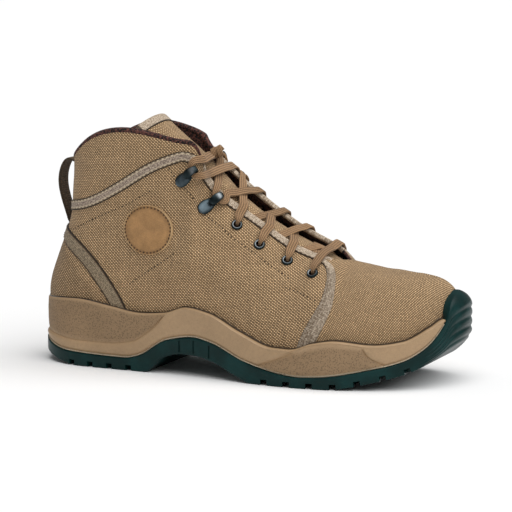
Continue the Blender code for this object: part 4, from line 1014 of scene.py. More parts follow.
def ease_places(spots, places, welds):
    """Cloth places moved until every small triangle of cloth keeps its size and shape as well as it can."""
    rows, columns = spots.shape[:2]
    size = rows * columns
    number = np.arange(size).reshape(rows, columns)
    a, b, c, d = number[:-1, :-1], number[1:, :-1], number[1:, 1:], number[:-1, 1:]
    corners = np.vstack((np.stack((a, b, c), -1).reshape(-1, 3), np.stack((a, c, d), -1).reshape(-1, 3)))
    corner_spots = spots.reshape(-1, 3)[corners]
    ahead = corner_spots[:, 1] - corner_spots[:, 0]
    aside = corner_spots[:, 2] - corner_spots[:, 0]
    length = np.maximum(np.linalg.norm(ahead, axis=1), 1e-6)
    along = np.sum(ahead * aside, axis=1) / length
    off = np.sqrt(np.maximum(np.sum(aside * aside, axis=1) - along ** 2, 0.0))
    flat = np.zeros((len(corners), 3, 2))
    flat[:, 1, 0] = length
    flat[:, 2] = np.column_stack((along, off))
    matrix = np.zeros((size, size))
    for k in range(3):
        tie(matrix, corners[:, k], corners[:, (k + 1) % 3], 1.0)
    tie(matrix, *welds.T, WELD_PULL)
    matrix[0, 0] += 1.0
    inverse = np.linalg.inv(matrix)
    places = places.reshape(-1, 2)
    sides = [flat[:, (k + 1) % 3] - flat[:, k] for k in range(3)]
    for _ in range(EASING_ROUNDS):
        cosine = np.zeros(len(corners))
        sine = np.zeros(len(corners))
        for k, side in enumerate(sides):
            now = places[corners[:, (k + 1) % 3]] - places[corners[:, k]]
            cosine += now[:, 0] * side[:, 0] + now[:, 1] * side[:, 1]
            sine += now[:, 1] * side[:, 0] - now[:, 0] * side[:, 1]
        reach = np.maximum(np.hypot(cosine, sine), 1e-9)
        cosine /= reach
        sine /= reach
        right = np.zeros((size, 2))
        for k, side in enumerate(sides):
            turned_side = np.column_stack((
                cosine * side[:, 0] - sine * side[:, 1], sine * side[:, 0] + cosine * side[:, 1],
            ))
            np.add.at(right, corners[:, (k + 1) % 3], turned_side)
            np.add.at(right, corners[:, k], -turned_side)
        places = inverse @ right
    return places.reshape(rows, columns, 2)


def quarter_places():
    """Threads of both quarters, level along the shoe and upright, running on round the heel."""
    w, v = np.meshgrid(QUARTER_W, CLOTH_V, indexing="ij")
    normal = upper_normal(w, v)
    first = unit(np.cross(np.broadcast_to((0.0, 0.0, 1.0), normal.shape), normal))
    spots = upper_point(w, v)
    places = ease_places(spots, solve_places(spots, normal, first), np.zeros((0, 2), dtype=int))
    return turn_places(places, QUARTER_TURN)


def vamp_places():
    """Threads of the vamp, laid flat from its ridge outwards and turned aslant to the shoe's length."""
    w, v = np.meshgrid(VAMP_W, CLOTH_V, indexing="ij")
    spots = upper_point(w, v)
    steps = np.linalg.norm(np.diff(spots, axis=1), axis=2)
    down = np.concatenate((np.cumsum(steps[:, ::-1], axis=1)[:, ::-1], np.zeros((len(VAMP_W), 1))), axis=1)
    first = spots[:, -1:, :2] + outline(VAMP_W)[1][:, None, :2] * down[..., None]
    last = len(CLOTH_V) - 1
    columns = len(CLOTH_V)
    welds = np.array([
        (i * columns + last, (len(VAMP_W) - 1 - i) * columns + last)
        for i in range(len(VAMP_W) // 2) if VAMP_W[i] >= THROAT_END
    ])
    return turn_places(ease_places(spots, first, welds), VAMP_TURN)


QUARTER_PLACES = quarter_places()
VAMP_PLACES = vamp_places() * VAMP_CLOSER


def cloth_at(w, v):
    """Cloth place of points of the upper, by the panel they lie on."""
    u, medial = fold(w)
    past = u > np.interp(v, QUARTER_FRONT["v"], QUARTER_FRONT["u"])
    signed = np.where(medial, -u, u)
    quarter = lookup(QUARTER_PLACES, QUARTER_W, CLOTH_V, np.clip(signed, -QUARTER_END, QUARTER_END), v)
    round_toe = np.where(medial, LOOP_STATIONS - u, u)
    vamp = lookup(VAMP_PLACES, VAMP_W, CLOTH_V, np.clip(round_toe, VAMP_W[0], VAMP_W[-1]), v)
    return np.concatenate((np.where(past[..., None], vamp, quarter), past[..., None].astype(float)), axis=-1)


# Finishes

class Finish:
    """Procedural material built from nodes round a Principled shader."""

    def __init__(self, name, roughness, sockets):
        self.material = bpy.data.materials.new(name)
        self.material.use_nodes = True
        self.tree = self.material.node_tree
        self.shader = self.tree.nodes["Principled BSDF"]
        self.shader.inputs["Roughness"].default_value = roughness
        for socket, value in sockets.items():
            self.shader.inputs[socket].default_value = value

    def put(self, socket, value):
        """Link a socket, or set its value."""
        if isinstance(value, bpy.types.NodeSocket):
            self.tree.links.new(value, socket)
        elif isinstance(value, tuple) and len(value) == 3 and socket.type == "RGBA":
            socket.default_value = (*value, 1.0)
        else:
            socket.default_value = value

    def fed(self, node, inputs):
        """Outputs of a node, after its inputs are put in by number or name."""
        for socket, value in inputs.items():
            self.put(node.inputs[socket], value)
        return node.outputs

    def new(self, kind):
        return self.tree.nodes.new("ShaderNode" + kind)

    def math(self, operation, *values, clamp=False):
        node = self.new("Math")
        node.operation = operation
        node.use_clamp = clamp
        return self.fed(node, dict(enumerate(values)))[0]

    def times(self, first, second):
        return self.math("MULTIPLY", first, second)

    def plus(self, first, second):
        return self.math("ADD", first, second)

    def line(self, value, slope, start):
        """Value times a slope, and a start added."""
        return self.math("MULTIPLY_ADD", value, slope, start)

    def waves(self, value, turn):
        return self.math("SINE", self.times(value, turn))

    def cloth(self):
        node = self.new("Attribute")
        node.attribute_name = "cloth"
        return node.outputs["Vector"]

    def spot(self):
        return self.new("TexCoord").outputs["Object"]

    def split(self, vector):
        return tuple(self.fed(self.new("SeparateXYZ"), {0: vector}))

    def noise(self, vector, scale, detail, roughness=0.5, output="Fac"):
        inputs = {"Vector": vector, "Scale": scale, "Detail": detail, "Roughness": roughness}
        return self.fed(self.new("TexNoise"), inputs)[output]

    def cells(self, vector, scale):
        return self.fed(self.new("TexVoronoi"), {"Vector": vector, "Scale": scale})["Distance"]

    def random(self, value):
        node = self.new("TexWhiteNoise")
        node.noise_dimensions = "1D"
        return self.fed(node, {"W": value})["Value"]

    def crossing(self, first, second):
        """Random number for every pair of whole numbers."""
        node = self.new("TexWhiteNoise")
        node.noise_dimensions = "3D"
        pair = self.fed(self.new("CombineXYZ"), {0: first, 1: second})[0]
        return self.fed(node, {"Vector": pair})["Value"]

    def vectors(self, operation, inputs):
        node = self.new("VectorMath")
        node.operation = operation
        return self.fed(node, inputs)

    def shift(self, vector, scale, amount):
        """Vector moved about a little by noise."""
        noise = self.noise(vector, scale, 1.0, output="Color")
        return self.vectors("MULTIPLY_ADD", {0: noise, 1: (amount, amount, 0.0), 2: vector})[0]

    def scale_colour(self, colour, amount):
        return self.vectors("SCALE", {0: colour, "Scale": amount})[0]

    def mix(self, share, first, second):
        node = self.new("Mix")
        node.data_type = "RGBA"
        return self.fed(node, {0: share, 6: first, 7: second})[2]

    def span(self, value, low, high, to_low=0.0, to_high=1.0):
        """Soft step from one range to another."""
        node = self.new("MapRange")
        node.interpolation_type = "SMOOTHSTEP"
        return self.fed(node, dict(enumerate((value, low, high, to_low, to_high))))[0]

    def colour(self, value):
        self.put(self.shader.inputs["Base Color"], value)

    def rough(self, value):
        self.put(self.shader.inputs["Roughness"], value)

    def bump(self, height, depth, strength):
        """Bump of a height from 0 to 1 that stands depth millimetres high."""
        inputs = {"Height": height, "Distance": depth * MM, "Strength": strength}
        self.put(self.shader.inputs["Normal"], self.fed(self.new("Bump"), inputs)[0])


SOFT = {"Specular IOR Level": 0.25, "Sheen Weight": 0.08, "Sheen Roughness": 0.5}


def canvas_finish(name, warp, weft, pitch):
    """Coarse plain weave: uneven threads over and under each other, each thread with its own tone, and a
    painted shade on the counter below its tape.
    """
    f = Finish(name, 0.92, SOFT)
    cloth = f.cloth()
    u, v, panel = f.split(f.shift(f.shift(cloth, 0.10, 1.2), 0.9, 0.30))
    turn = math.pi / pitch
    over = f.times(f.waves(u, turn), f.waves(v, turn))
    crown = f.math("POWER", f.math("ABSOLUTE", over), 0.7)
    side = f.math("MULTIPLY_ADD", over, 2.5, 0.5, clamp=True)
    column = f.math("FLOOR", f.math("DIVIDE", u, pitch))
    row = f.math("FLOOR", f.math("DIVIDE", v, pitch))
    tone = f.plus(f.times(f.random(column), 0.07), f.times(f.random(f.plus(row, 317.0)), 0.07))
    tone = f.line(f.crossing(column, row), 0.28, tone)
    patch = f.noise(cloth, 0.05, 3.0)
    fuzz = f.noise(cloth, 1.9, 2.0)
    slanted = f.line(f.line(panel, -2.0, 1.0), v, u)
    streak = f.math("COSINE", f.line(slanted, turn, f.times(panel, math.pi)))
    level = f.line(crown, 1.25, 0.06)
    level = f.line(streak, -0.24, level)
    level = f.times(level, f.plus(tone, 0.79))
    level = f.times(level, f.line(patch, 0.24, 0.88))
    level = f.times(level, f.line(fuzz, 0.5, 0.75))
    # Painted shade: the canvas behind and below the counter tape is darkened
    x, _, z = f.split(f.spot())
    behind = f.line(z, 0.9, x)
    level = f.times(level, f.span(behind, -0.060, -0.052, COUNTER_PAINTED_SHADE, 1.0))
    f.colour(f.scale_colour(f.mix(side, weft, warp), level))
    f.bump(f.plus(crown, f.times(fuzz, 0.4)), 0.34, 0.8)
    return f.material


def webbing_finish(name, light, dark, edge, half_width, rib=1.1, sides=2, stripe=None):
    """Narrow woven tape: ribs across, speckled middle, pale stripes near its sides and dark edges, partly
    dark edge threads and partly painted shadow of the gap beside the tape.
    """
    f = Finish(name, 0.9, SOFT)
    cloth = f.cloth()
    along, across, front = f.split(cloth)
    ribs = f.math("ABSOLUTE", f.waves(along, math.pi / rib))
    lines = f.math("ABSOLUTE", f.waves(across, math.pi / (rib * 0.8)))
    crown = f.math("POWER", f.times(ribs, lines), 0.5)
    speckle = f.noise(cloth, 0.9, 3.0, 0.75)
    mixed = f.mix(f.span(speckle, 0.40, 0.62), dark, light)
    reach = f.math("ABSOLUTE", across)
    if stripe:
        mixed = f.mix(f.span(reach, half_width * 0.40, half_width * 0.50), mixed, stripe)
    from_edge = reach if sides == 2 else f.times(across, -1.0)
    # Dark edges: partly dark edge threads, partly painted shadow of the gap beside the tape
    side = f.span(from_edge, half_width * 0.72, half_width * 0.86)
    if sides == 1:
        holes = f.times(f.span(f.cells(cloth, 0.60), 0.46, 0.28), front)
        rear = f.span(across, half_width * 0.35, half_width * -0.15)
        mixed = f.mix(f.times(holes, rear), mixed, dark)
        mixed = f.scale_colour(mixed, f.line(front, -FRONT_SHADE, 1.0))
        side = f.times(side, f.line(front, -0.8, 1.0))
    shaded = f.mix(side, mixed, edge)
    f.colour(f.scale_colour(shaded, f.line(crown, 0.6, 0.60)))
    f.bump(f.plus(crown, f.times(speckle, 0.5)), 0.28, 0.8)
    return f.material


def mesh_lining_finish(name, dark, light):
    """Open knit lining: dark ground with small reddish dots."""
    f = Finish(name, 0.9, SOFT)
    cloth = f.cloth()
    dots = f.cells(cloth, 0.55)
    thread = f.noise(cloth, 1.1, 3.0, 0.7)
    share = f.times(f.span(dots, 0.30, 0.60), f.span(thread, 0.36, 0.62))
    f.colour(f.mix(share, dark, light))
    f.bump(dots, 0.35, 0.8)
    return f.material


def lace_finish():
    """Flat braid with lengthwise ridges and slanting yarns."""
    f = Finish("lace_braid_look", 0.85, SOFT)
    cloth = f.cloth()
    _, across, _ = f.split(cloth)
    uneven, uneven_across, _ = f.split(f.shift(cloth, 0.5, 0.7))
    ridge_turn = math.pi * LACE_RIDGES / LACE_WIDTH
    ridge = f.math("ABSOLUTE", f.waves(uneven_across, ridge_turn))
    slant = f.math("SINE", f.line(f.math("ABSOLUTE", across), 2.6, f.times(uneven, 4.2)))
    yarn = f.noise(cloth, 1.8, 2.0)
    level = f.line(f.times(ridge, ridge), 0.66, 0.44)
    level = f.times(level, f.line(slant, 0.16, 0.9))
    level = f.times(level, f.line(yarn, 0.9, 0.58))
    f.colour(f.scale_colour(LACE_COLOUR, level))
    f.bump(f.plus(f.times(slant, 0.3), yarn), 0.22, 0.7)
    return f.material


def foam_finish():
    """Moulded foam rubber: smooth wave, stippled panels, a pale line where the outsole starts and a painted
    shadow where the cup meets the canvas.
    """
    f = Finish("midsole_look", 0.55, {"Specular IOR Level": 0.4})
    _, panel, from_edge = f.split(f.cloth())
    spot = f.spot()
    patch = f.noise(spot, 35.0, 3.0)
    worn = f.noise(spot, 420.0, 4.0, 0.65)
    stipple = f.cells(spot, 900.0)
    grain = f.noise(spot, 2600.0, 2.0)
    base = f.mix(panel, FOAM_COLOUR, FOAM_PANEL_COLOUR)
    base = f.mix(f.span(from_edge, 1.3, 0.5), base, FOAM_LINE_COLOUR)
    # Painted shadow on the rim's top and the cup's edge where they meet the canvas
    base = f.mix(f.span(panel, -0.4, -0.8), base, RIM_SHADOW_COLOUR)
    level = f.line(patch, 0.40, 0.66)
    level = f.line(worn, 0.34, level)
    pits = f.times(f.line(panel, 0.8, 0.2), f.span(stipple, 0.50, 0.0, 0.0, 0.7))
    f.colour(f.scale_colour(base, f.math("SUBTRACT", level, pits)))
    f.rough(f.line(panel, 0.2, 0.5))
    f.bump(f.plus(f.times(f.times(stipple, panel), 1.6), f.times(grain, 0.25)), 0.25, 0.6)
    return f.material


def rubber_finish():
    """Dark green-black rubber with a faint bloom and gloss that varies in patches."""
    f = Finish("outsole_look", 0.45, {"Specular IOR Level": 0.16})
    spot = f.spot()
    patch = f.noise(spot, 60.0, 4.0)
    grain = f.noise(spot, 1500.0, 3.0)
    f.colour(f.mix(f.span(patch, 0.35, 0.75), RUBBER_COLOUR, RUBBER_BLOOM))
    f.rough(f.line(patch, 0.25, 0.24))
    f.bump(grain, 0.08, 0.6)
    return f.material


def leather_finish():
    """Waxed leather with pressed grain, darker towards its rim, with a painted highlight along its edge."""
    f = Finish("badge_look", 0.55, {"Specular IOR Level": 0.35})
    cloth = f.cloth()
    grain = f.cells(cloth, 0.9)
    patch = f.noise(cloth, 0.11, 4.0, 0.6)
    pores = f.noise(cloth, 1.5, 4.0, 0.7)
    reach = f.vectors("LENGTH", {0: cloth})["Value"]
    level = f.line(patch, 1.2, 0.42)
    level = f.times(level, f.line(pores, 1.0, 0.50))
    level = f.times(level, f.span(reach, 12.5, 15.4, 1.0, 0.86))
    # Painted highlight along the patch's edge
    tone = f.mix(f.span(reach, 16.0, 16.6), BADGE_COLOUR, BADGE_EDGE_HIGHLIGHT)
    f.colour(f.scale_colour(tone, level))
    f.bump(f.plus(grain, pores), 0.24, 0.8)
    return f.material


def steel_finish():
    """Blackened steel with blotchy wear, and a painted sheen and a painted highlight where the cloth place
    says so.
    """
    f = Finish("gunmetal_look", 0.2, {"Metallic": 1.0})
    wear_and_sheen = f.noise(f.spot(), 420.0, 3.0)
    # The cloth place's first value goes from the painted sheen to the dark steel colour, its second value
    # gives the painted highlight
    dark, painted_highlight, _ = f.split(f.cloth())
    tone = f.mix(dark, STEEL_SHEEN, STEEL_DARK)
    f.colour(f.scale_colour(f.mix(painted_highlight, tone, STEEL_HIGHLIGHT), f.line(wear_and_sheen, 0.9, 0.55)))
    f.rough(f.line(wear_and_sheen, 0.20, 0.26))
    return f.material


def thread_finish(name, colour):
    """Twisted thread."""
    f = Finish(name, 0.8, SOFT)
    twist = f.noise(f.cloth(), 1.4, 2.0)
    f.colour(f.scale_colour(colour, f.line(twist, 0.6, 0.7)))
    return f.material


def insole_finish():
    """Dark board with a fine woven face."""
    f = Finish("insole_look", 0.95, SOFT)
    weave = f.cells(f.spot(), 700.0)
    f.colour(f.mix(weave, INSOLE_DARK, INSOLE_LIGHT))
    f.bump(weave, 0.3, 0.6)
    return f.material


CANVAS_WARP = (0.600, 0.410, 0.232)
CANVAS_WEFT = (0.335, 0.203, 0.096)
# Brightness left by the painted shade on the counter
COUNTER_PAINTED_SHADE = 0.77
TAPE_LIGHT = (0.560, 0.447, 0.345)
TAPE_DARK = (0.172, 0.128, 0.100)
# Dark tape edges: edge threads with the painted shadow of the gap beside the tape
TAPE_EDGE_AND_SHADOW = (0.030, 0.020, 0.012)
TAPE_STRIPE = (0.600, 0.490, 0.350)
COUNTER_LIGHT = (0.370, 0.285, 0.185)
COUNTER_DARK = (0.150, 0.116, 0.076)
FACING_LIGHT = (0.680, 0.560, 0.430)
FACING_DARK = (0.300, 0.225, 0.155)
FACING_EDGE_AND_SHADOW = (0.045, 0.030, 0.018)
FRONT_SHADE = 0.32
LOOP_LIGHT = (0.150, 0.098, 0.055)
LOOP_DARK = (0.055, 0.036, 0.020)
LOOP_RIB = 1.6
LINING_DARK = (0.008, 0.006, 0.006)
LINING_LIGHT = (0.150, 0.056, 0.042)
LACE_COLOUR = (0.355, 0.212, 0.110)
LACE_RIDGES = 4
FOAM_COLOUR = (0.362, 0.241, 0.134)
FOAM_PANEL_COLOUR = (0.270, 0.176, 0.095)
FOAM_LINE_COLOUR = (0.500, 0.415, 0.300)
# Painted shadow where the cup meets the canvas
RIM_SHADOW_COLOUR = (0.040, 0.026, 0.015)
RUBBER_COLOUR = (0.001, 0.016, 0.0150)
RUBBER_BLOOM = (0.003, 0.032, 0.031)
BADGE_COLOUR = (0.350, 0.192, 0.076)
# Painted highlight along the patch's edge
BADGE_EDGE_HIGHLIGHT = (0.520, 0.340, 0.170)
STEEL_DARK = (0.016, 0.024, 0.026)
# Painted sheen and painted highlight on the hooks and eyelets
STEEL_SHEEN = (0.085, 0.112, 0.128)
STEEL_HIGHLIGHT = (0.25, 0.27, 0.28)
HOLE_COLOUR = (0.035, 0.024, 0.016)
SEAM_THREAD = (0.150, 0.098, 0.058)
BADGE_THREAD = (0.085, 0.046, 0.022)
INSOLE_DARK = (0.018, 0.013, 0.010)
INSOLE_LIGHT = (0.060, 0.045, 0.034)
THREAD_PITCH = 1.08

LOOKS = {
    "canvas": canvas_finish("canvas_look", CANVAS_WARP, CANVAS_WEFT, THREAD_PITCH),
    "tape": webbing_finish(
        "tape_look", TAPE_LIGHT, TAPE_DARK, TAPE_EDGE_AND_SHADOW, COLLAR_TAPE_WIDTH / 2, stripe=TAPE_STRIPE,
    ),
    "counter": webbing_finish(
        "counter_tape_look", COUNTER_LIGHT, COUNTER_DARK, TAPE_EDGE_AND_SHADOW, COUNTER_TAPE_WIDTH / 2,
    ),
    "facing": webbing_finish(
        "facing_look", FACING_LIGHT, FACING_DARK, FACING_EDGE_AND_SHADOW, FACING_TAPE_WIDTH / 2, sides=1,
    ),
    "loop": webbing_finish("loop_look", LOOP_LIGHT, LOOP_DARK, LOOP_DARK, LOOP_WIDTH / 2, rib=LOOP_RIB),
    "lining": mesh_lining_finish("lining_look", LINING_DARK, LINING_LIGHT),
    "lace": lace_finish(),
    "foam": foam_finish(),
    "rubber": rubber_finish(),
    "leather": leather_finish(),
    "steel": steel_finish(),
    "hole": thread_finish("pinhole_look", HOLE_COLOUR),
    "thread": thread_finish("thread_look", SEAM_THREAD),
    "badge_thread": thread_finish("badge_thread_look", BADGE_THREAD),
    "insole": insole_finish(),
}


# Upper

WALL_STEP = 1.7
THROAT_STEP = 1.5
SIDE_W = np.concatenate((
    spaced(0.0, COLLAR_FRONT, WALL_STEP),
    spaced(COLLAR_FRONT, THROAT_END, THROAT_STEP)[1:],
    spaced(THROAT_END, TOE_STATION, WALL_STEP)[1:],
))
AROUND = np.concatenate((SIDE_W, LOOP_STATIONS - SIDE_W[-2:0:-1]))
THROAT_COLUMN = int(np.argmin(np.abs(SIDE_W - THROAT_END)))
WALL_ROWS = 86
LINING_ROWS = 26
CREST_POINTS = 5


def eyelet_places():
    """Side, number, middle and outward direction of every eyelet."""
    places = []
    for side, rows in EYELETS.items():
        for number, (x, z) in enumerate(zip(rows["x"], rows["z"]), start=1):
            w, v = find_on_upper(x, z, side == "medial")
            places.append((side, number, skin(w, v), upper_normal(w, v)))
    return places


EYELET_PLACES = eyelet_places()


def build_upper():
    """Canvas shell with its lining, open at the collar, the throat and underneath."""
    columns = len(AROUND)
    levels = np.linspace(0.0, 1.0, WALL_ROWS)
    w, v = np.meshgrid(AROUND, levels, indexing="ij")
    normal = upper_normal(w, v)
    mirror = (columns - np.arange(columns)) % columns
    u = fold(AROUND)[0]
    ridge = u >= THROAT_END - 1e-6
    shared = unit(normal[:, -1] + normal[mirror, -1])
    normal[ridge, -1] = shared[ridge]
    outside = upper_point(w, v) + normal * relief(w, v)[..., None]
    ridge_relief = (relief(AROUND, np.ones(columns)) + relief(AROUND[mirror], np.ones(columns))) / 2
    outside[ridge, -1] = (upper_point(AROUND, np.ones(columns)) + shared * ridge_relief[:, None])[ridge]
    inner_levels = np.linspace(1.0, 0.0, LINING_ROWS)
    iw, iv = np.meshgrid(AROUND, inner_levels, indexing="ij")
    inner_normal = upper_normal(iw, iv)
    inner_normal[ridge, 0] = shared[ridge]
    depth = wall_thickness(iw, iv) + vamp_drop(fold(iw)[0], iv)
    inside = upper_point(iw, iv) - inner_normal * depth[..., None]
    shapes = Shapes()
    cloth = cloth_at(w, v)
    faces = grid_faces(columns, WALL_ROWS, close_rows=True)
    middles = outside.reshape(-1, 3)[faces].mean(axis=1)
    for _, _, spot, _ in EYELET_PLACES:
        clear = np.linalg.norm(middles - spot, axis=1) > EYELET_BARREL
        faces = faces[clear]
        middles = middles[clear]
    shapes.add(outside, faces.tolist(), cloth, 0)
    shapes.add(inside, grid_faces(columns, LINING_ROWS, close_rows=True).tolist(), None, 1)
    edge = [k % columns for k in range(-THROAT_COLUMN, THROAT_COLUMN + 1)]
    crest = []
    for k in edge:
        rise = unit(upper_slopes(AROUND[k], 0.99)[1])
        first = outside[k, -1]
        last = inside[k, 0]
        thick = np.linalg.norm(first - last)
        for turn in np.linspace(0, math.pi, CREST_POINTS + 2):
            middle = (first + last) / 2 + (first - last) / 2 * math.cos(turn)
            crest.append(middle + rise * thick * 0.4 * math.sin(turn))
    shapes.add(crest, grid_faces(len(edge), CREST_POINTS + 2).tolist(), None, 1)
    foot = np.stack((outside[:, 0], inside[:, -1]), axis=1)
    shapes.add(foot, grid_faces(columns, 2, close_rows=True).tolist(), None, 1)
    shapes.piece("canvas_upper", ("canvas", "lining"), "canvas", ("upper",), weld=0.02, crease=60.0)


ROLL_POINTS = 18
ROLL_SQUARENESS = 0.8
ROLL_LEVEL = 0.98
# Rolls over the edge: how far below and above it they reach, and how proud they stand
COLLAR_ROLL = (2.4, 1.2, 0.6)
FACING_ROLL = (2.6, 1.3, 0.7)


def squared(value, power):
    """Sine or cosine drawn towards a square's corners."""
    return math.copysign(abs(value) ** power, value)


def edge_roll(w, below, above, proud):
    """Rings of a soft roll over the upper's top edge along stations w."""
    rings = []
    for station in w:
        rise = unit(upper_slopes(station, 0.99)[1])
        normal = upper_normal(station, 0.99)
        outer = skin(station, 1.0)
        thick = float(wall_thickness(station, 1.0))
        centre = outer - normal * thick / 2 + rise * (above - below) / 2
        ring = []
        for angle in np.linspace(0, 2 * math.pi, ROLL_POINTS, endpoint=False):
            c = squared(math.cos(angle), ROLL_SQUARENESS)
            s = squared(math.sin(angle), ROLL_SQUARENESS)
            ring.append(centre + normal * (thick / 2 + proud) * c + rise * s * (above + below) / 2)
        rings.append(ring)
    return np.array(rings)


COLLAR_ROLL_END = 5.32
COLLAR_ROLL_STEP = 1.6


def build_collar():
    """Dark mesh roll round the collar's edge."""
    half = spaced(0.0, COLLAR_ROLL_END, COLLAR_ROLL_STEP, ROLL_LEVEL)
    w = np.concatenate((-half[:0:-1], half))
    shapes = Shapes()
    shapes.add_loft(edge_roll(w, *COLLAR_ROLL), None)
    shapes.piece("collar_roll", ("lining",), "canvas")


# Stitches: distance of their ends along the tapes, height, length and radius, share across the tape
STITCH_STEP = 1.7
STITCH_HEIGHT = 0.95 * TAPE_THICKNESS
HEEL_TAPE_STITCH = (2.4, 0.28)
HEEL_STITCH_AT = 0.34
FACING_STITCH = (2.2, 0.26)
FACING_STITCH_AT = 0.36
PINHOLE_STEP = 1.45
PINHOLE = (1.2, 0.42)


def heel_line(rows, step):
    """Even stations and levels of a tape round the heel."""
    last = rows["u"][-1]
    knots, values = mirrored(rows["u"], rows["z"][:, None], np.ones(1), False)
    fine = np.linspace(-last, last, 500)
    return even_line(fine, level_at(fine, free_spline(knots, values)(np.abs(fine))[:, 0]), step)


COUNTER_SPREAD = 3.4
COUNTER_SPREAD_BY = 2.6
HEEL_TAPE_STEP = 1.5


def build_heel_tapes():
    """Webbing round the ankle and the counter; the counter's widens on its lower side."""
    for name, rows, width, spread, look in (
        ("collar_tape", COLLAR_TAPE, COLLAR_TAPE_WIDTH, 0.0, "tape"),
        ("counter_tape", COUNTER_TAPE, COUNTER_TAPE_WIDTH, COUNTER_SPREAD, "counter"),
    ):
        w, v = heel_line(rows, HEEL_TAPE_STEP)
        wider = spread * smoothstep(np.abs(w) / COUNTER_SPREAD_BY)
        shapes = Shapes()
        add_strip(shapes, *beside(w, v, -0.5 * wider), width + wider)
        w, v = heel_line(rows, STITCH_STEP)
        wider = spread * smoothstep(np.abs(w) / COUNTER_SPREAD_BY)
        for offset in (-HEEL_STITCH_AT * width - wider, HEEL_STITCH_AT * width):
            stitch_row(shapes, *beside(w, v, offset), *HEEL_TAPE_STITCH, STITCH_HEIGHT, 1)
        shapes.piece(f"{name}_woven", (look, "thread"), "ankle_webbing", (name,))


FACING_STEP = 1.3
FACING_ROLL_SPAN = (5.36, 7.8)
FACING_ROLL_CLOTH = 1.6
# Where the facing widens down the wall: millimetres, level where it starts and span of levels
FACING_WIDER = ((0.8, 0.93, 0.15), (4.0, 0.72, 0.6))
FACING_FRONT = (0.84, 0.12)


def build_facings():
    """Pale webbing round the throat's edges and down the quarters' front edges."""
    for side, sign in SIDES:
        medial = side == "medial"
        w, v = even_path(FACING_TAPE, FACING_STEP, medial)
        widths = FACING_TAPE_WIDTH
        for more, start, span in FACING_WIDER:
            widths = widths + more * smoothstep((start - v) / span)
        start, span = FACING_FRONT
        shapes = Shapes()
        add_strip(shapes, w, v, widths, -sign, smoothstep((start - v) / span))
        roll = on_side(spaced(*FACING_ROLL_SPAN, FACING_STEP, ROLL_LEVEL), medial)
        rings = edge_roll(roll, *FACING_ROLL)
        across = np.linspace(-FACING_ROLL_CLOTH, FACING_ROLL_CLOTH, ROLL_POINTS)
        shapes.add_loft(rings, loft_cloth(run_length(rings.mean(axis=1)), across))
        w, v = even_path(FACING_TAPE, STITCH_STEP, medial)
        offset = sign * FACING_STITCH_AT * FACING_TAPE_WIDTH
        stitch_row(shapes, *beside(w, v, offset), *FACING_STITCH, STITCH_HEIGHT, 1)
        name = f"facing_{side}_woven"
        shapes.piece(name, ("facing", "thread"), "facing_webbing", (f"facing_tape_{side}",))


def build_seams():
    """Rows of dark pinholes where the panels are stitched through."""
    shapes = Shapes()
    for rows, medial in product(SEAMS, (False, True)):
        stitch_row(shapes, *even_path(rows, PINHOLE_STEP, medial), *PINHOLE, 0.0)
    shapes.piece("seam_pinholes", ("hole",), "canvas")


# Badge and hardware

# Rings of the patch from its middle outwards: share of its radius and of its thickness
BADGE_RINGS = (
    (0.25, 0.92), (0.5, 0.92), (0.7, 0.92), (0.82, 0.92), (0.87, 0.94), (0.90, 0.80), (0.92, 0.72),
    (0.94, 0.80), (0.96, 1.0), (0.978, 0.98), (0.992, 0.85), (1.0, 0.55), (1.0, -0.4),
)
BADGE_SPREAD = 1.05
BADGE_STEPS = 96
BADGE_STITCHES = 40
BADGE_STITCH_REACH = 0.92
BADGE_STITCH_HEIGHT = 0.82
BADGE_STITCH = (1.4, 0.55)


def badge_circle(share, steps):
    """Stations and levels round the patch at a share of its radius, with their places across and up it."""
    angle = np.linspace(0, 2 * math.pi, steps, endpoint=False)
    across = BADGE_SPREAD * BADGE_RADIUS * share * np.cos(angle)
    rise = BADGE_RISE * share * np.sin(angle)
    return *find_on_upper(BADGE_X + across, BADGE_Z + rise), across, rise


def build_badge():
    """Round leather patch with a stitched, pressed border and a plain middle."""
    rings = []
    cloth = []
    for share, height in BADGE_RINGS:
        w, v, across, rise = badge_circle(share, BADGE_STEPS)
        rings.append(skin(w, v, height * BADGE_THICKNESS))
        cloth.append(np.column_stack((across / BADGE_SPREAD, rise, np.zeros(BADGE_STEPS))))
    middle = skin(*find_on_upper(BADGE_X, BADGE_Z), BADGE_RINGS[0][1] * BADGE_THICKNESS)
    points = np.vstack((*rings, middle))
    cloth = np.vstack(cloth + [np.zeros((1, 3))])
    faces = grid_faces(len(rings), BADGE_STEPS, close_columns=True).tolist()
    faces += [[(k + 1) % BADGE_STEPS, k, len(points) - 1] for k in range(BADGE_STEPS)]
    last = (len(rings) - 1) * BADGE_STEPS
    faces.append([last + k for k in range(BADGE_STEPS)])
    shapes = Shapes()
    shapes.add(points, faces, cloth)
    w, v, _, _ = badge_circle(BADGE_STITCH_REACH, 2 * BADGE_STITCHES)
    spots = skin(w, v, BADGE_THICKNESS * BADGE_STITCH_HEIGHT)
    along = unit(np.roll(spots, -1, axis=0) - np.roll(spots, 1, axis=0))
    normals = upper_normal(w, v)
    for k in range(0, len(w), 2):
        add_stitch(shapes, spots[k], along[k], normals[k], *BADGE_STITCH, 1)
    shapes.piece("badge_leather_patch", ("leather", "badge_thread"), "badge_leather", ("badge",))


def turned(profile, steps, spot, axis):
    """Points and faces of a closed ring turned about an axis; profile rows are radius and height."""
    first = unit(np.cross(axis, np.array((0.3, 0.1, 1.0))))
    second = np.cross(axis, first)
    angle = np.linspace(0, 2 * math.pi, steps, endpoint=False)
    reach = first * np.cos(angle)[:, None] + second * np.sin(angle)[:, None]
    points = spot + reach[:, None] * profile[None, :, :1] + axis * profile[None, :, 1:]
    return points.reshape(-1, 3), grid_faces(steps, len(profile), True, True).tolist()


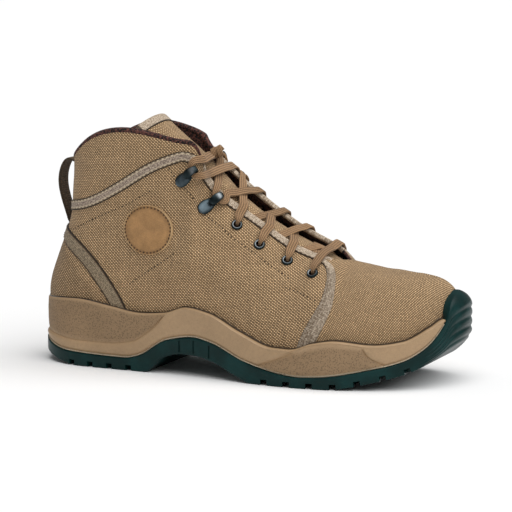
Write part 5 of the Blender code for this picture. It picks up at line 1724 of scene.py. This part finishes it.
# Painted highlight on the eyelet's roll: its distance from the middle and its half width
EYELET_HIGHLIGHT_AT = 2.5
EYELET_HIGHLIGHT_REACH = 0.35
EYELET_STEPS = 36
EYELET_CROWN = 0.35
EYELET_UNDER = -0.5
EYELET_END = -WALL - 0.4


def eyelet_profile():
    """Rolled flange on the canvas and a barrel down through it."""
    middle = (EYELET_RADIUS + EYELET_BORE) / 2
    half = (EYELET_RADIUS - EYELET_BORE) / 2
    turn = np.linspace(0, math.pi, 11)
    crown = EYELET_FLANGE + EYELET_CROWN
    rolled = [(middle + half * math.cos(t), 0.1 + crown * math.sin(t)) for t in turn]
    barrel = [(EYELET_BORE, EYELET_END), (EYELET_BARREL, EYELET_END), (EYELET_BARREL, EYELET_UNDER)]
    return np.array(rolled + barrel + [(EYELET_RADIUS, EYELET_UNDER)])


def build_eyelets():
    """Rolled rings with a painted highlight round the bore."""
    profile = eyelet_profile()
    reach, high = profile.T
    # Painted highlight on the top of the roll round the bore; elsewhere the dark steel colour
    painted_highlight = np.exp(-((reach - EYELET_HIGHLIGHT_AT) / EYELET_HIGHLIGHT_REACH) ** 2) * (high > 0.2)
    wear_and_sheen = np.column_stack((1.0 - painted_highlight, painted_highlight, np.zeros(len(profile))))
    for side, number, spot, normal in EYELET_PLACES:
        points, faces = turned(profile, EYELET_STEPS, spot, normal)
        shapes = Shapes()
        shapes.add(points, faces, np.tile(wear_and_sheen, (EYELET_STEPS, 1)))
        shapes.piece(f"eyelet_ring_{side}_{number}", ("steel",), "gunmetal", (f"eyelet_{side}_{number}",))


# Plate, bend and bent-over top of a hook: place towards the throat, height and width
HOOK_LINE = np.array((
    (-6.6, 0.6, 1.0), (-6.1, 0.8, 4.4), (-4.9, 0.9, 7.2), (-2.4, 0.9, 8.8), (0.4, 0.9, 8.6), (3.2, 0.9, 7.2),
    (6.4, 1.0, 5.8), (9.8, 1.4, 5.2), (12.0, 2.5, 4.6), (12.6, 3.9, 4.0), (11.4, 5.2, 4.6), (8.8, 6.0, 5.6),
    (6.0, 5.8, 6.0), (3.8, 5.2, 5.2), (2.4, 4.7, 3.6), (1.9, 4.5, 1.0),
))
HOOK_SECTIONS = 64
HOOK_RING = 16
HOOK_LIFT = 0.35
# Place along a hook of the painted highlight on its bent-over top
HOOK_HIGHLIGHT_AT = 9.6


def hook_frames():
    """Foot, throat direction and normal of every hook by side and number."""
    frames = {}
    for side, rows in HOOKS.items():
        for number in range(len(rows["x"])):
            w, v = find_on_upper(rows["x"][number], rows["z"][number], side == "medial")
            tip = find_on_upper(rows["tip_x"][number], rows["tip_z"][number], side == "medial")
            normal = upper_normal(w, v)
            foot = skin(w, v) + normal * HOOK_LIFT
            along = upper_point(*tip) - foot
            along = unit(along - normal * np.dot(along, normal))
            frames[side, number + 1] = (foot, along, normal)
    return frames


HOOK_FRAMES = hook_frames()


def build_hooks():
    """Speed hooks: a rounded plate riveted on, bent up at the throat side and back over itself."""
    line = through(HOOK_LINE, HOOK_SECTIONS)
    turn = unit(np.gradient(line[:, :2], axis=0))
    angles = np.linspace(0, 2 * math.pi, HOOK_RING, endpoint=False)
    for (side, number), (foot, along, normal) in HOOK_FRAMES.items():
        across = np.cross(normal, along)
        rings = []
        wear_and_sheen = []
        for (a, high, width), t in zip(line, turn):
            up = normal * t[0] - along * t[1]
            ring = []
            for angle in angles:
                c = squared(math.cos(angle), 0.85)
                s = squared(math.sin(angle), 0.9)
                side_step = across * c * width / 2 + up * s * HOOK_STEEL * 0.62
                ring.append(foot + along * a + normal * high + side_step)
                # Painted light: a painted sheen on the plate's middle, the dark steel colour on its rim,
                # over the top and past the bend, and a painted highlight on the top near the tip
                rim = smoothstep((abs(c) - 0.62) / 0.25)
                top = smoothstep((high - 3.4) / 1.2)
                painted_highlight = top * math.exp(-((a - HOOK_HIGHLIGHT_AT) / 1.3) ** 2) * (1.0 - rim)
                wear_and_sheen.append((max(rim, 0.85 * top, smoothstep((a - 2.0) / 1.5)), painted_highlight, 0.0))
            rings.append(ring)
        shapes = Shapes()
        shapes.add_loft(rings, np.vstack((wear_and_sheen, np.tile((1.0, 0.0, 0.0), (2, 1)))))
        name = f"speed_hook_{side}_{number}"
        shapes.piece(name, ("steel",), "gunmetal", (f"hook_{side}_{number}",), crease=50.0)


# Lace: one flat braid in two halves from the bar at the toe

LACE_STEP = 0.9
LACE_SHARES = np.linspace(-0.5, 0.5, 13)
# Lace out of an eyelet: distance from its middle to the throat's edge, height over the canvas and width
EYELET_EXIT = ((0.8, -3.2, 2.1), (1.0, -0.8, 2.1), (1.9, 1.1, 2.52), (3.6, 2.1, 4.8))
# Lace round a hook's neck: place along and across the hook, height and width
HOOK_TURN = (
    (11.4, -4.9, 2.9, 4.6), (9.0, -3.4, 3.1, 3.6), (8.0, 0.0, 3.2, 3.6), (9.0, 3.4, 3.1, 3.6),
    (11.4, 4.9, 3.0, 4.6),
)
HOOK_EDGE_WIDTH = 5.6
EDGE_HEIGHT = 2.5
CANVAS_HEIGHT = 2.1
TONGUE_HEIGHT = 1.0
CROSS_OVER = 1.5
LACE_INSET = 2.5
LEAVES = 0.2
DIPS = 0.75
DIPS_LOW = 0.3
PAIR_OFFSET = 4.4
TOP_BAR_EDGE = 5.30
TIE_SPOT = (121.6, 4.2, 145.0)


def over_canvas(w, v, height, width=LACE_WIDTH):
    """Stop of the lace over the canvas: point, outward direction, width."""
    return skin(w, v, height), upper_normal(w, v), width


def towards_edge(side, row, edge, distance):
    """Station and level a distance from a row's eyelet towards a place on the throat's edge."""
    w, v = lace_row(side, row)
    direction = upper_point(edge, 1.0) - upper_point(w, v)
    return step_on_upper(w, v, unit(direction), np.asarray(distance))


def out_of_eyelet(side, row, share):
    """Stops from inside an eyelet, up through it, over the canvas and to the throat's edge."""
    w, v = lace_row(side, row)
    edge = edge_station(side, row, share)
    stops = [
        over_canvas(*towards_edge(side, row, edge, distance), height, width)
        for distance, height, width in EYELET_EXIT
    ]
    stops.append(over_canvas((w + edge) / 2, (v + 1) / 2, CANVAS_HEIGHT, LACE_WIDTH * 0.95))
    stops.append(over_canvas(edge, 1.0, EDGE_HEIGHT))
    return stops


def on_tongue(edge):
    """Stop of the lace on the tongue, in from a place on the throat's edge."""
    x, y, _ = top_point(edge)
    return over_tongue(x, y - np.sign(y) * LACE_INSET, TONGUE_HEIGHT), tongue_up(x), LACE_WIDTH


def taut(first, last, over):
    """Stops on a straight line between two others, raised where the tongue or a strand is in the way."""
    stops = []
    for share in (0.25, 0.5, 0.75):
        spot = first[0] + (last[0] - first[0]) * share
        up = tongue_up(spot[0])
        height = np.dot(spot - over_tongue(spot[0], spot[1], 0.0), up)
        raised = max(0.0, TONGUE_HEIGHT - height) + over * math.sin(math.pi * share) ** 2
        stops.append((spot + up * raised, up, LACE_WIDTH))
    return stops


def round_hook(side, number):
    """Stops round a hook's neck, under its bent-over top: in below it, out above it."""
    foot, along, normal = HOOK_FRAMES[side, number]
    across = np.cross(normal, along)
    across = across * np.sign(across[2])
    w, v = lace_row(side, 6 - number)
    edge = nearest_edge(side, upper_point(w, v))
    stops = [over_canvas(edge_shifted(edge, -PAIR_OFFSET), 1.0, EDGE_HEIGHT, HOOK_EDGE_WIDTH)]
    for a, c, high, width in HOOK_TURN:
        stops.append((foot + along * a + across * c + normal * high, normal, width))
    stops.append(over_canvas(edge_shifted(edge, PAIR_OFFSET), 1.0, EDGE_HEIGHT, HOOK_EDGE_WIDTH))
    return stops


def half_lace(side):
    """Stops of one half of the lace, from the middle of the bar at the toe to the top hook."""
    far = other(side)
    down = out_of_eyelet(side, 0, 0.0)[::-1]
    opposite = out_of_eyelet(far, 0, 0.0)[-1]
    half_way = (down[0][0] + opposite[0]) / 2
    stops = [(half_way, tongue_up(half_way[0]), LACE_WIDTH)] + down
    here = side
    for row in range(3):
        there = other(here)
        over = CROSS_OVER if (here == "medial") == (row != 2) else 0.0
        if row == 0:
            stops.append(on_tongue(edge_station(here, 0, DIPS_LOW)))
        enter = on_tongue(edge_station(there, row, DIPS))
        stops += taut(stops[-1], enter, over) + [enter]
        stops += out_of_eyelet(there, row + 1, LEAVES)
        here = there
    for number in (2, 1):
        there = other(here)
        over = CROSS_OVER if here == "medial" else 0.0
        turn = round_hook(there, number)
        stops += taut(stops[-1], turn[0], over) + turn
        here = there
    if here == "lateral":
        knot = (np.array(TIE_SPOT), tongue_up(TIE_SPOT[0]), 5.0)
        stops[-1] = over_canvas(TOP_BAR_EDGE, 1.0, 1.9, 5.8)
        stops += taut(stops[-1], knot, 0.0) + [knot]
    else:
        stops[-1] = over_canvas(LOOP_STATIONS - TOP_BAR_EDGE - 0.08, 1.0, 1.5, 4.8)
        end = (np.array(KNOT_SPOT) + 1.5 * unit(np.array(KNOT_AXIS)), tongue_up(KNOT_SPOT[0]), 3.6)
        stops += taut(stops[-1], end, 0.0) + [end]
    return stops


def soft_line(run, spots):
    """Smooth line through stops that doesn't swing past them."""
    grade = np.diff(spots, axis=0) / np.diff(run)[:, None]
    before = np.diff(run)[:-1, None]
    after = np.diff(run)[1:, None]
    middle = (grade[:-1] * after + grade[1:] * before) / (before + after)
    return sloped_curve(run, spots, np.vstack((grade[:1], middle, grade[-1:])))


def braid(stops, step):
    """Rings, centre line and cloth places of a flat ridged braid through stops."""
    spots, ups, widths = (np.array(values) for values in zip(*stops))
    run = run_length(spots)
    at = np.linspace(0, run[-1], int(run[-1] / step) + 1)
    middle = soft_line(run, spots)(at)
    along = unit(np.gradient(middle, axis=0))
    up = columns_at(at, run, ups)
    across = unit(np.cross(up, along))
    for k in range(1, len(across)):
        if np.dot(across[k], across[k - 1]) < 0:
            across[k] = -across[k]
    soft = np.copy(across)
    for _ in range(3):
        soft[1:-1] = unit(soft[:-2] + 2 * soft[1:-1] + soft[2:])
    across = unit(soft - along * np.sum(soft * along, axis=1, keepdims=True))
    up = np.cross(along, across)
    width = np.interp(at, run, widths)
    thick = LACE_THICKNESS * np.sqrt(LACE_WIDTH / width)
    ridge = 1.0 - 0.22 * np.cos(2 * math.pi * LACE_RIDGES * (LACE_SHARES + 0.5))
    ridge = ridge - 0.55 * np.abs(2 * LACE_SHARES) ** 8
    rings = []
    for k in range(len(at)):
        row = middle[k] + np.outer(LACE_SHARES * width[k], across[k])
        rings.append(two_faced(row, ridge * thick[k] / 2, up[k]))
    return rings, middle, loft_cloth(run_length(middle), there_and_back(LACE_SHARES) * LACE_WIDTH)


def lace_piece(name, stops, nodes, step=LACE_STEP):
    """Piece of lace through stops, and its centre line in metres."""
    rings, middle, cloth = braid(stops, step)
    shapes = Shapes()
    shapes.add_loft(rings, cloth)
    return shapes.piece(name, ("lace",), "lace_braid", nodes, crease=50.0), place(middle)


def build_laces():
    """Both halves of the lace, then the tie."""
    near_nodes = ("lace_bar_toe", "lace_cross_2", "lace_cross_4")
    lace_piece("lace_from_near_eyelet", half_lace("lateral"), near_nodes)
    far_nodes = ("lace_cross_1", "lace_cross_3", "lace_cross_5", "lace_bar_top")
    lace_piece("lace_from_far_eyelet", half_lace("medial"), far_nodes)
    build_knot()


KNOT_LACE = 4.0
KNOT_RADIUS = 3.1
KNOT_PITCH = 3.9
KNOT_SPOT = (124.8, 3.6, 146.4)
KNOT_AXIS = (0.77, 0.40, 0.50)
KNOT_OUT = (0.39, -0.75, 0.54)
KNOT_TURNS = (-0.42, 1.5)
KNOT_STOPS = 48
KNOT_STEP = 0.6


def build_knot():
    """Small tie at the inner end of the top bar: the lace wound round itself and drawn tight."""
    axis = unit(np.array(KNOT_AXIS))
    out = np.array(KNOT_OUT)
    out = unit(out - axis * np.dot(out, axis))
    side = np.cross(axis, out)
    side = side * np.sign(side[1])
    stops = []
    for turn in np.linspace(*KNOT_TURNS, KNOT_STOPS):
        angle = 2 * math.pi * turn
        reach = out * math.cos(angle) + side * math.sin(angle)
        share = (turn - KNOT_TURNS[0]) / (KNOT_TURNS[1] - KNOT_TURNS[0]) - 0.5
        swell = 0.62 + 0.50 * math.cos(math.pi * share)
        slide = axis * KNOT_PITCH * (turn - sum(KNOT_TURNS) / 2)
        spot = np.array(KNOT_SPOT) + slide + reach * KNOT_RADIUS * swell
        stops.append((spot, reach, KNOT_LACE * (0.5 + 0.5 * swell)))
    piece, line = lace_piece("lace_tie", stops, ("lace_knot",), KNOT_STEP)
    length = float(run_length(line)[-1])


# Tongue and pull loop

TONGUE_ROWS = 90
TONGUE_SHARES = np.linspace(-1.0, 1.0, 41)
TONGUE_BINDING = 6.0
TONGUE_BINDING_PROUD = 0.75
TONGUE_SWELL = 0.5
TONGUE_CLOTH = 22.0


def tongue_rings(rows, grow):
    """Rings of the padded tongue along rows of its line, grown outwards by some millimetres."""
    shares = TONGUE_SHARES
    along = unit(np.gradient(rows[:, :2], axis=0))
    rings = []
    for (x, z, half, tilt, drop), a in zip(rows, along):
        up = np.array((a[1], 0.0, -a[0]))
        lift = tilt * shares * half - drop * shares ** 2
        thick = TONGUE_EDGE + (TONGUE_THICKNESS - TONGUE_EDGE) * (1 - shares ** 4)
        middle = np.array((x, 0.0, z)) + np.outer(shares * (half + grow), (0, 1, 0))
        swell = TONGUE_SWELL * np.cos(shares * math.pi / 2) ** 0.5
        outer = middle + up * (lift + grow + swell)[:, None]
        inner = middle + up * (lift - thick - grow)[:, None]
        rings.append(np.vstack((outer, inner[::-1])))
    return np.array(rings)


def build_tongue():
    """Padded canvas tongue with a woven binding over its top edge."""
    line = through(TONGUE, 400)
    run = run_length(line[:, :2])
    across = there_and_back(TONGUE_SHARES) * TONGUE_CLOTH
    at = np.linspace(0, run[-1], TONGUE_ROWS)
    shapes = Shapes()
    shapes.add_loft(tongue_rings(columns_at(at, run, line), 0.0), loft_cloth(at, across))
    tongue = shapes.piece("tongue_canvas", ("canvas",), "canvas", ("tongue",), crease=60.0)
    at = np.linspace(run[-1] - TONGUE_BINDING, run[-1] - 0.2, 12)
    rings = tongue_rings(columns_at(at, run, line), TONGUE_BINDING_PROUD)
    end = rings[-1] + (rings[-1] - rings[-2]) * 1.6
    rings = np.concatenate((rings, [end * 0.85 + rings[-1] * 0.15]))
    along = np.append(at, at[-1] + 1.0) - at.mean()
    shapes = Shapes()
    shapes.add_loft(rings, loft_cloth(along, across)[:, (1, 0, 2)])
    shapes.piece("tongue_binding", ("facing",), "facing_webbing", crease=50.0)


LOOP_TUCK = (20.5, 89.5)
LOOP_ROWS = 90
LOOP_SHARES = np.linspace(-0.5, 0.5, 15)
LOOP_RIBS = 6


def build_pull_loop():
    """Ribbed webbing loop standing off the heel's back."""
    line = through(np.vstack((LOOP, LOOP_TUCK)), LOOP_ROWS)
    along = unit(np.gradient(line, axis=0))
    ribs = 0.10 * np.cos(LOOP_SHARES * 2 * math.pi * LOOP_RIBS)
    height = LOOP_THICKNESS / 2 * (1 - 0.5 * np.abs(2 * LOOP_SHARES) ** 8 + ribs)
    rings = []
    for (x, z), a in zip(line, along):
        up = np.array((-a[1], 0.0, a[0]))
        middle = np.array((x, 0.0, z)) + np.outer(LOOP_SHARES * LOOP_WIDTH, (0, 1, 0))
        rings.append(two_faced(middle, height, up))
    spread = there_and_back(LOOP_SHARES) * LOOP_WIDTH
    shapes = Shapes()
    shapes.add_loft(rings, loft_cloth(run_length(line), spread))
    shapes.piece("pull_loop_woven", ("loop",), "loop_webbing", ("pull_loop",))


# Sole

SOLE_COLUMNS = 340
GROOVE_WIDTH = 1.6
GROOVE_FADE = 3.5
BUMPER_X = 294.4
# How far up the canvas the cup's edge reaches; it carries the painted shadow
RIM_SHADOW_RISE = 0.7
RIM_ROUNDING = 0.9
RIM_BEHIND_BUMPER = 5.0
LEDGE = 0.9
LEDGE_SUNK = 1.0
SOLE_FINE = np.linspace(0, LOOP_STATIONS, 2000)
SOLE_RUN = run_length(outline(SOLE_FINE)[0])
SOLE_W = np.interp(np.linspace(0, 1, SOLE_COLUMNS, endpoint=False), SOLE_RUN / SOLE_RUN[-1], SOLE_FINE)
SOLE_SPOT, SOLE_OUT = outline(SOLE_W)
SOLE_X = SOLE_SPOT[:, 0]


def wall_at(z):
    """Outer wall of the upper at heights round the sole, from above."""
    return upper_point(SOLE_W, level_at(SOLE_W, z))[:, :2]


def sole_side(z, inset):
    """Side of the sole at height z, set in from the outline, leaning on the upper high up at the toe."""
    inset = np.broadcast_to(inset, len(SOLE_W))
    straight = SOLE_SPOT - SOLE_OUT * inset[:, None]
    leaning = wall_at(z) + SOLE_OUT * (BUMPER_STANDOFF - inset)[:, None]
    share = smoothstep((z - BUMPER_LEAN_FROM) / BUMPER_LEAN_SPAN)[:, None]
    return np.column_stack((straight + (leaning - straight) * share, z))


def against_canvas(z, share):
    """Inner side of the sole's lip, carried in to the canvas where share is 1."""
    loop = sole_side(z, LIP_WIDTH)
    canvas = wall_at(z) - SOLE_OUT * LEDGE_SUNK
    loop[:, :2] += (canvas - loop[:, :2]) * share[:, None]
    return loop


def add_loops(shapes, loops, cloth):
    """Solid skin through closed loops, the first and last loop filled across."""
    loops = np.asarray(loops)
    count, size = loops.shape[:2]
    faces = grid_faces(count, size, close_columns=True).tolist()
    for start in (0, (count - 1) * size):
        half = size // 2
        faces.append([start, start + 1, start + size - 1])
        for i in range(1, half - 1):
            faces.append([start + i, start + i + 1, start + size - i - 1, start + size - i])
        faces.append([start + half - 1, start + half, start + half + 1])
    shapes.add(loops, faces, cloth)


def build_midsole():
    """Cup with the raised wave between its panels."""
    lip = lip_height(SOLE_X)
    behind = 1.0 + RIM_BEHIND_BUMPER * smoothstep((SOLE_X - BUMPER_X) / 2.5)
    rim = np.where(SOLE_X > BUMPER_X, np.minimum(rim_height(SOLE_X), lip - behind), rim_height(SOLE_X))
    edge = np.minimum(lip, rim - RIM_OVER_EDGE) + GAP
    shown = smoothstep((WAVE_FADE_X - SOLE_X) / WAVE_FADE_SPAN)
    hidden = LIP_WIDTH + 2 * GAP
    heel = np.clip(heel_panel_height(SOLE_X), edge + PANEL_OVER_EDGE, rim - PANEL_OVER_EDGE / 3)
    fore = np.clip(fore_panel_height(SOLE_X), edge + PANEL_OVER_EDGE / 3, heel - 1.6)
    heel_open = smoothstep((rim - heel_panel_height(SOLE_X)) / GROOVE_FADE)
    fore_open = smoothstep((rim - fore_panel_height(SOLE_X)) / GROOVE_FADE)
    floor = floor_height((SOLE_SPOT - SOLE_OUT * FEATHER_INSET)[:, 0])
    levels = [(edge, WAVE_RECESS + 0.35, 0.0)]
    for share, inset in ((0.10, 0.85), (0.35, 0.6), (0.65, 0.65), (0.85, 0.95)):
        levels.append((edge + (fore - edge) * share, inset, 1.0))
    for share, inset in ((0.0, 1.4), (0.2, 1.6), (0.5, 1.0), (1.0, WAVE_PROUD)):
        levels.append((fore + GROOVE_WIDTH * share, WAVE_PROUD + (inset - WAVE_PROUD) * fore_open, 0.0))
    low = fore + GROOVE_WIDTH
    high = np.maximum(heel - GROOVE_WIDTH, low + 0.1)
    for share in (0.08, 0.25, 0.5, 0.75, 0.92):
        levels.append((low + (high - low) * share, WAVE_PROUD - 0.25 * math.sin(math.pi * share), 0.0))
    for share, inset in ((0.0, WAVE_PROUD), (0.5, 1.0), (0.8, 1.6), (1.0, 1.4)):
        levels.append((high + (heel - high) * share, WAVE_PROUD + (inset - WAVE_PROUD) * heel_open, 0.0))
    top = rim - RIM_ROUNDING
    for share, inset in ((0.12, 0.95), (0.35, 0.65), (0.7, 0.6), (0.95, 0.9)):
        inset = WAVE_PROUD + (inset - WAVE_PROUD) * heel_open
        levels.append((heel + np.maximum(top - heel, 0.05) * share, inset, heel_open))
    for share, inset in ((0.3, 1.0), (0.7, 1.3), (1.0, 2.0)):
        levels.append((np.maximum(top, heel + 0.06) + RIM_ROUNDING * share, inset, 0.0))
    loops = [
        sole_side(plate_height(SOLE_X) + GAP, hidden),
        sole_side(edge, hidden),
    ]
    marks = [0.0, 0.0]
    for z, inset, panel in levels:
        loops.append(sole_side(np.minimum(z, rim), hidden + (inset - hidden) * shown))
        marks.append(panel)
    wall = wall_at(rim) + SOLE_OUT * CUP_GAP
    # The rim's top and the cup's edge up the canvas, marked -1, carry the painted shadow where the cup meets
    # the canvas
    loops.append(np.column_stack((loops[-1][:, :2] * 0.35 + wall * 0.65, rim)))
    marks.append(-1.0)
    for share, rise, mark in ((1.0, RIM_SHADOW_RISE, -1.0), (0.5, 0.0, 0.0), (0.0, 0.0, 0.0)):
        z = floor + (rim - floor) * share + rise
        loops.append(np.column_stack((wall_at(z) + SOLE_OUT * CUP_GAP, z)))
        marks.append(mark)
    marks = [np.broadcast_to(mark, SOLE_COLUMNS) for mark in marks]
    height = np.array(loops)[..., 2]
    cloth = np.stack((height, marks, height - edge), axis=-1)
    shapes = Shapes()
    add_loops(shapes, loops, cloth)
    shapes.piece("midsole_moulded", ("foam",), "midsole_foam", ("midsole",), crease=55.0)


TOE_ROUNDING = 5.0
TOE_ROUNDING_UP_TO = 0.3
TOE_RIB = 0.8
TOE_RIBS_SPAN = (0.06, 0.78)
TOE_RIB_PITCH = 0.18


def toe_ribs(share):
    """Depth of the ribs round the lower front of the toe bumper at a share of its height."""
    low, high = TOE_RIBS_SPAN
    if not low < share < high:
        return 0.0
    return (0.5 - 0.5 * math.cos((share - low) / TOE_RIB_PITCH * 2 * math.pi)) ** 2


def build_outsole():
    """Tread plate with side lip, toe bumper and grooves between its lugs."""
    tread = tread_height(SOLE_X)
    lip = lip_height(SOLE_X)
    plate = plate_height(SOLE_X)
    at_toe = smoothstep((SOLE_X - TOE_RIB_FROM_X + 4.0) / 14.0)
    levels = [(0.0, TREAD_CHAMFER), (0.02, 0.7), (0.05, 0.25), (0.09, 0.0)]
    levels += [(share, 0.0) for share in np.linspace(0.11, 0.93, 38)]
    loops = []
    for share, inset in levels:
        rounding = TOE_ROUNDING * max(0.0, 1.0 - share / TOE_ROUNDING_UP_TO) ** 2
        ribs = TOE_RIB * toe_ribs(share)
        loops.append(sole_side(tread + (lip - tread) * share, inset + (rounding + ribs) * at_toe))
    for share, inset in ((0.96, 0.1), (0.985, 0.4), (1.0, 1.0)):
        loops.append(sole_side(tread + (lip - tread) * share, inset))
    at_bumper = smoothstep((SOLE_X - BUMPER_X + 0.5) / 2.0)
    loops.append(against_canvas(lip, at_bumper))
    loops.append(against_canvas(lip - LEDGE, at_bumper))
    loops.append(sole_side(lip - 1.2 * LEDGE, LIP_WIDTH))
    for share in (0.6, 0.0):
        loops.append(sole_side(plate + (lip - plate) * share, LIP_WIDTH))
    shapes = Shapes()
    add_loops(shapes, loops, None)
    piece = shapes.piece("outsole_lugged", ("rubber",), "outsole_rubber", ("outsole",))
    tools = groove_tools()
    for tool in tools:
        cut = piece.modifiers.new(tool.name, "BOOLEAN")
        cut.operation = "DIFFERENCE"
        cut.object = tool
        cut.solver = "EXACT"
    graph = bpy.context.evaluated_depsgraph_get()
    solid = bpy.data.meshes.new_from_object(piece.evaluated_get(graph))
    piece.modifiers.clear()
    piece.data = solid
    for tool in tools:
        bpy.data.objects.remove(tool, do_unlink=True)
    solid.shade_smooth()
    solid.set_sharp_from_angle(angle=math.radians(CREASE))


# Stage

CAMERA_TARGET = (0.003717, 0.000427, 0.077485)
CAMERA_AZIMUTH = 23.0
CAMERA_ELEVATION = 8.0
CAMERA_DISTANCE = 1.6
CAMERA_LENS = 167.06
FLOOR_REACH = 30.0
FLOOR_COLOUR = (0.93, 0.93, 0.93)
SKY_STRENGTH = 0.24
SUN_FROM = (0.48, -0.16, 1.0)
SUN_ANGLE = 80.0
SUN_STRENGTH = 3.08


def build_stage():
    """Pale floor, soft light from above and the camera at the photograph's angle."""
    mesh = bpy.data.meshes.new("floor")
    corners = [(x * FLOOR_REACH, y * FLOOR_REACH, 0) for x, y in ((-1, -1), (1, -1), (1, 1), (-1, 1))]
    mesh.from_pydata(corners, [], [(0, 1, 2, 3)])
    f = Finish("floor_look", 0.9, {"Specular IOR Level": 0.1})
    f.colour(FLOOR_COLOUR)
    mesh.materials.append(f.material)
    link("floor", mesh)
    world = bpy.data.worlds.new("studio")
    world.use_nodes = True
    background = world.node_tree.nodes["Background"]
    background.inputs["Color"].default_value = (1.0, 1.0, 1.0, 1.0)
    background.inputs["Strength"].default_value = SKY_STRENGTH
    bpy.context.scene.world = world
    light = bpy.data.lights.new("key", "SUN")
    light.angle = math.radians(SUN_ANGLE)
    light.energy = SUN_STRENGTH
    lamp = link("key", light)
    lamp.location = SUN_FROM
    lamp.rotation_euler = (-Vector(SUN_FROM)).to_track_quat("-Z", "Y").to_euler()
    camera = bpy.data.cameras.new("camera")
    camera.lens = CAMERA_LENS
    camera.sensor_width = 36.0
    camera.clip_end = 100.0
    eye = link("camera", camera)
    a = math.radians(CAMERA_AZIMUTH)
    e = math.radians(CAMERA_ELEVATION)
    back = Vector((math.sin(a) * math.cos(e), -math.cos(a) * math.cos(e), math.sin(e)))
    eye.location = Vector(CAMERA_TARGET) + back * CAMERA_DISTANCE
    eye.rotation_euler = (-back).to_track_quat("-Z", "Y").to_euler()
    bpy.context.scene.camera = eye
    bpy.context.scene.view_settings.view_transform = "Standard"


def dress_insole():
    """Footbed: its solid with a new material."""
    node = bpy.data.objects["insole"]
    node.data.materials.clear()
    node.data.materials.append(LOOKS["insole"])


build_upper()
build_collar()
build_heel_tapes()
build_facings()
build_seams()
build_badge()
build_eyelets()
build_hooks()
build_tongue()
build_pull_loop()
build_laces()
build_midsole()
build_outsole()
dress_insole()
build_stage()
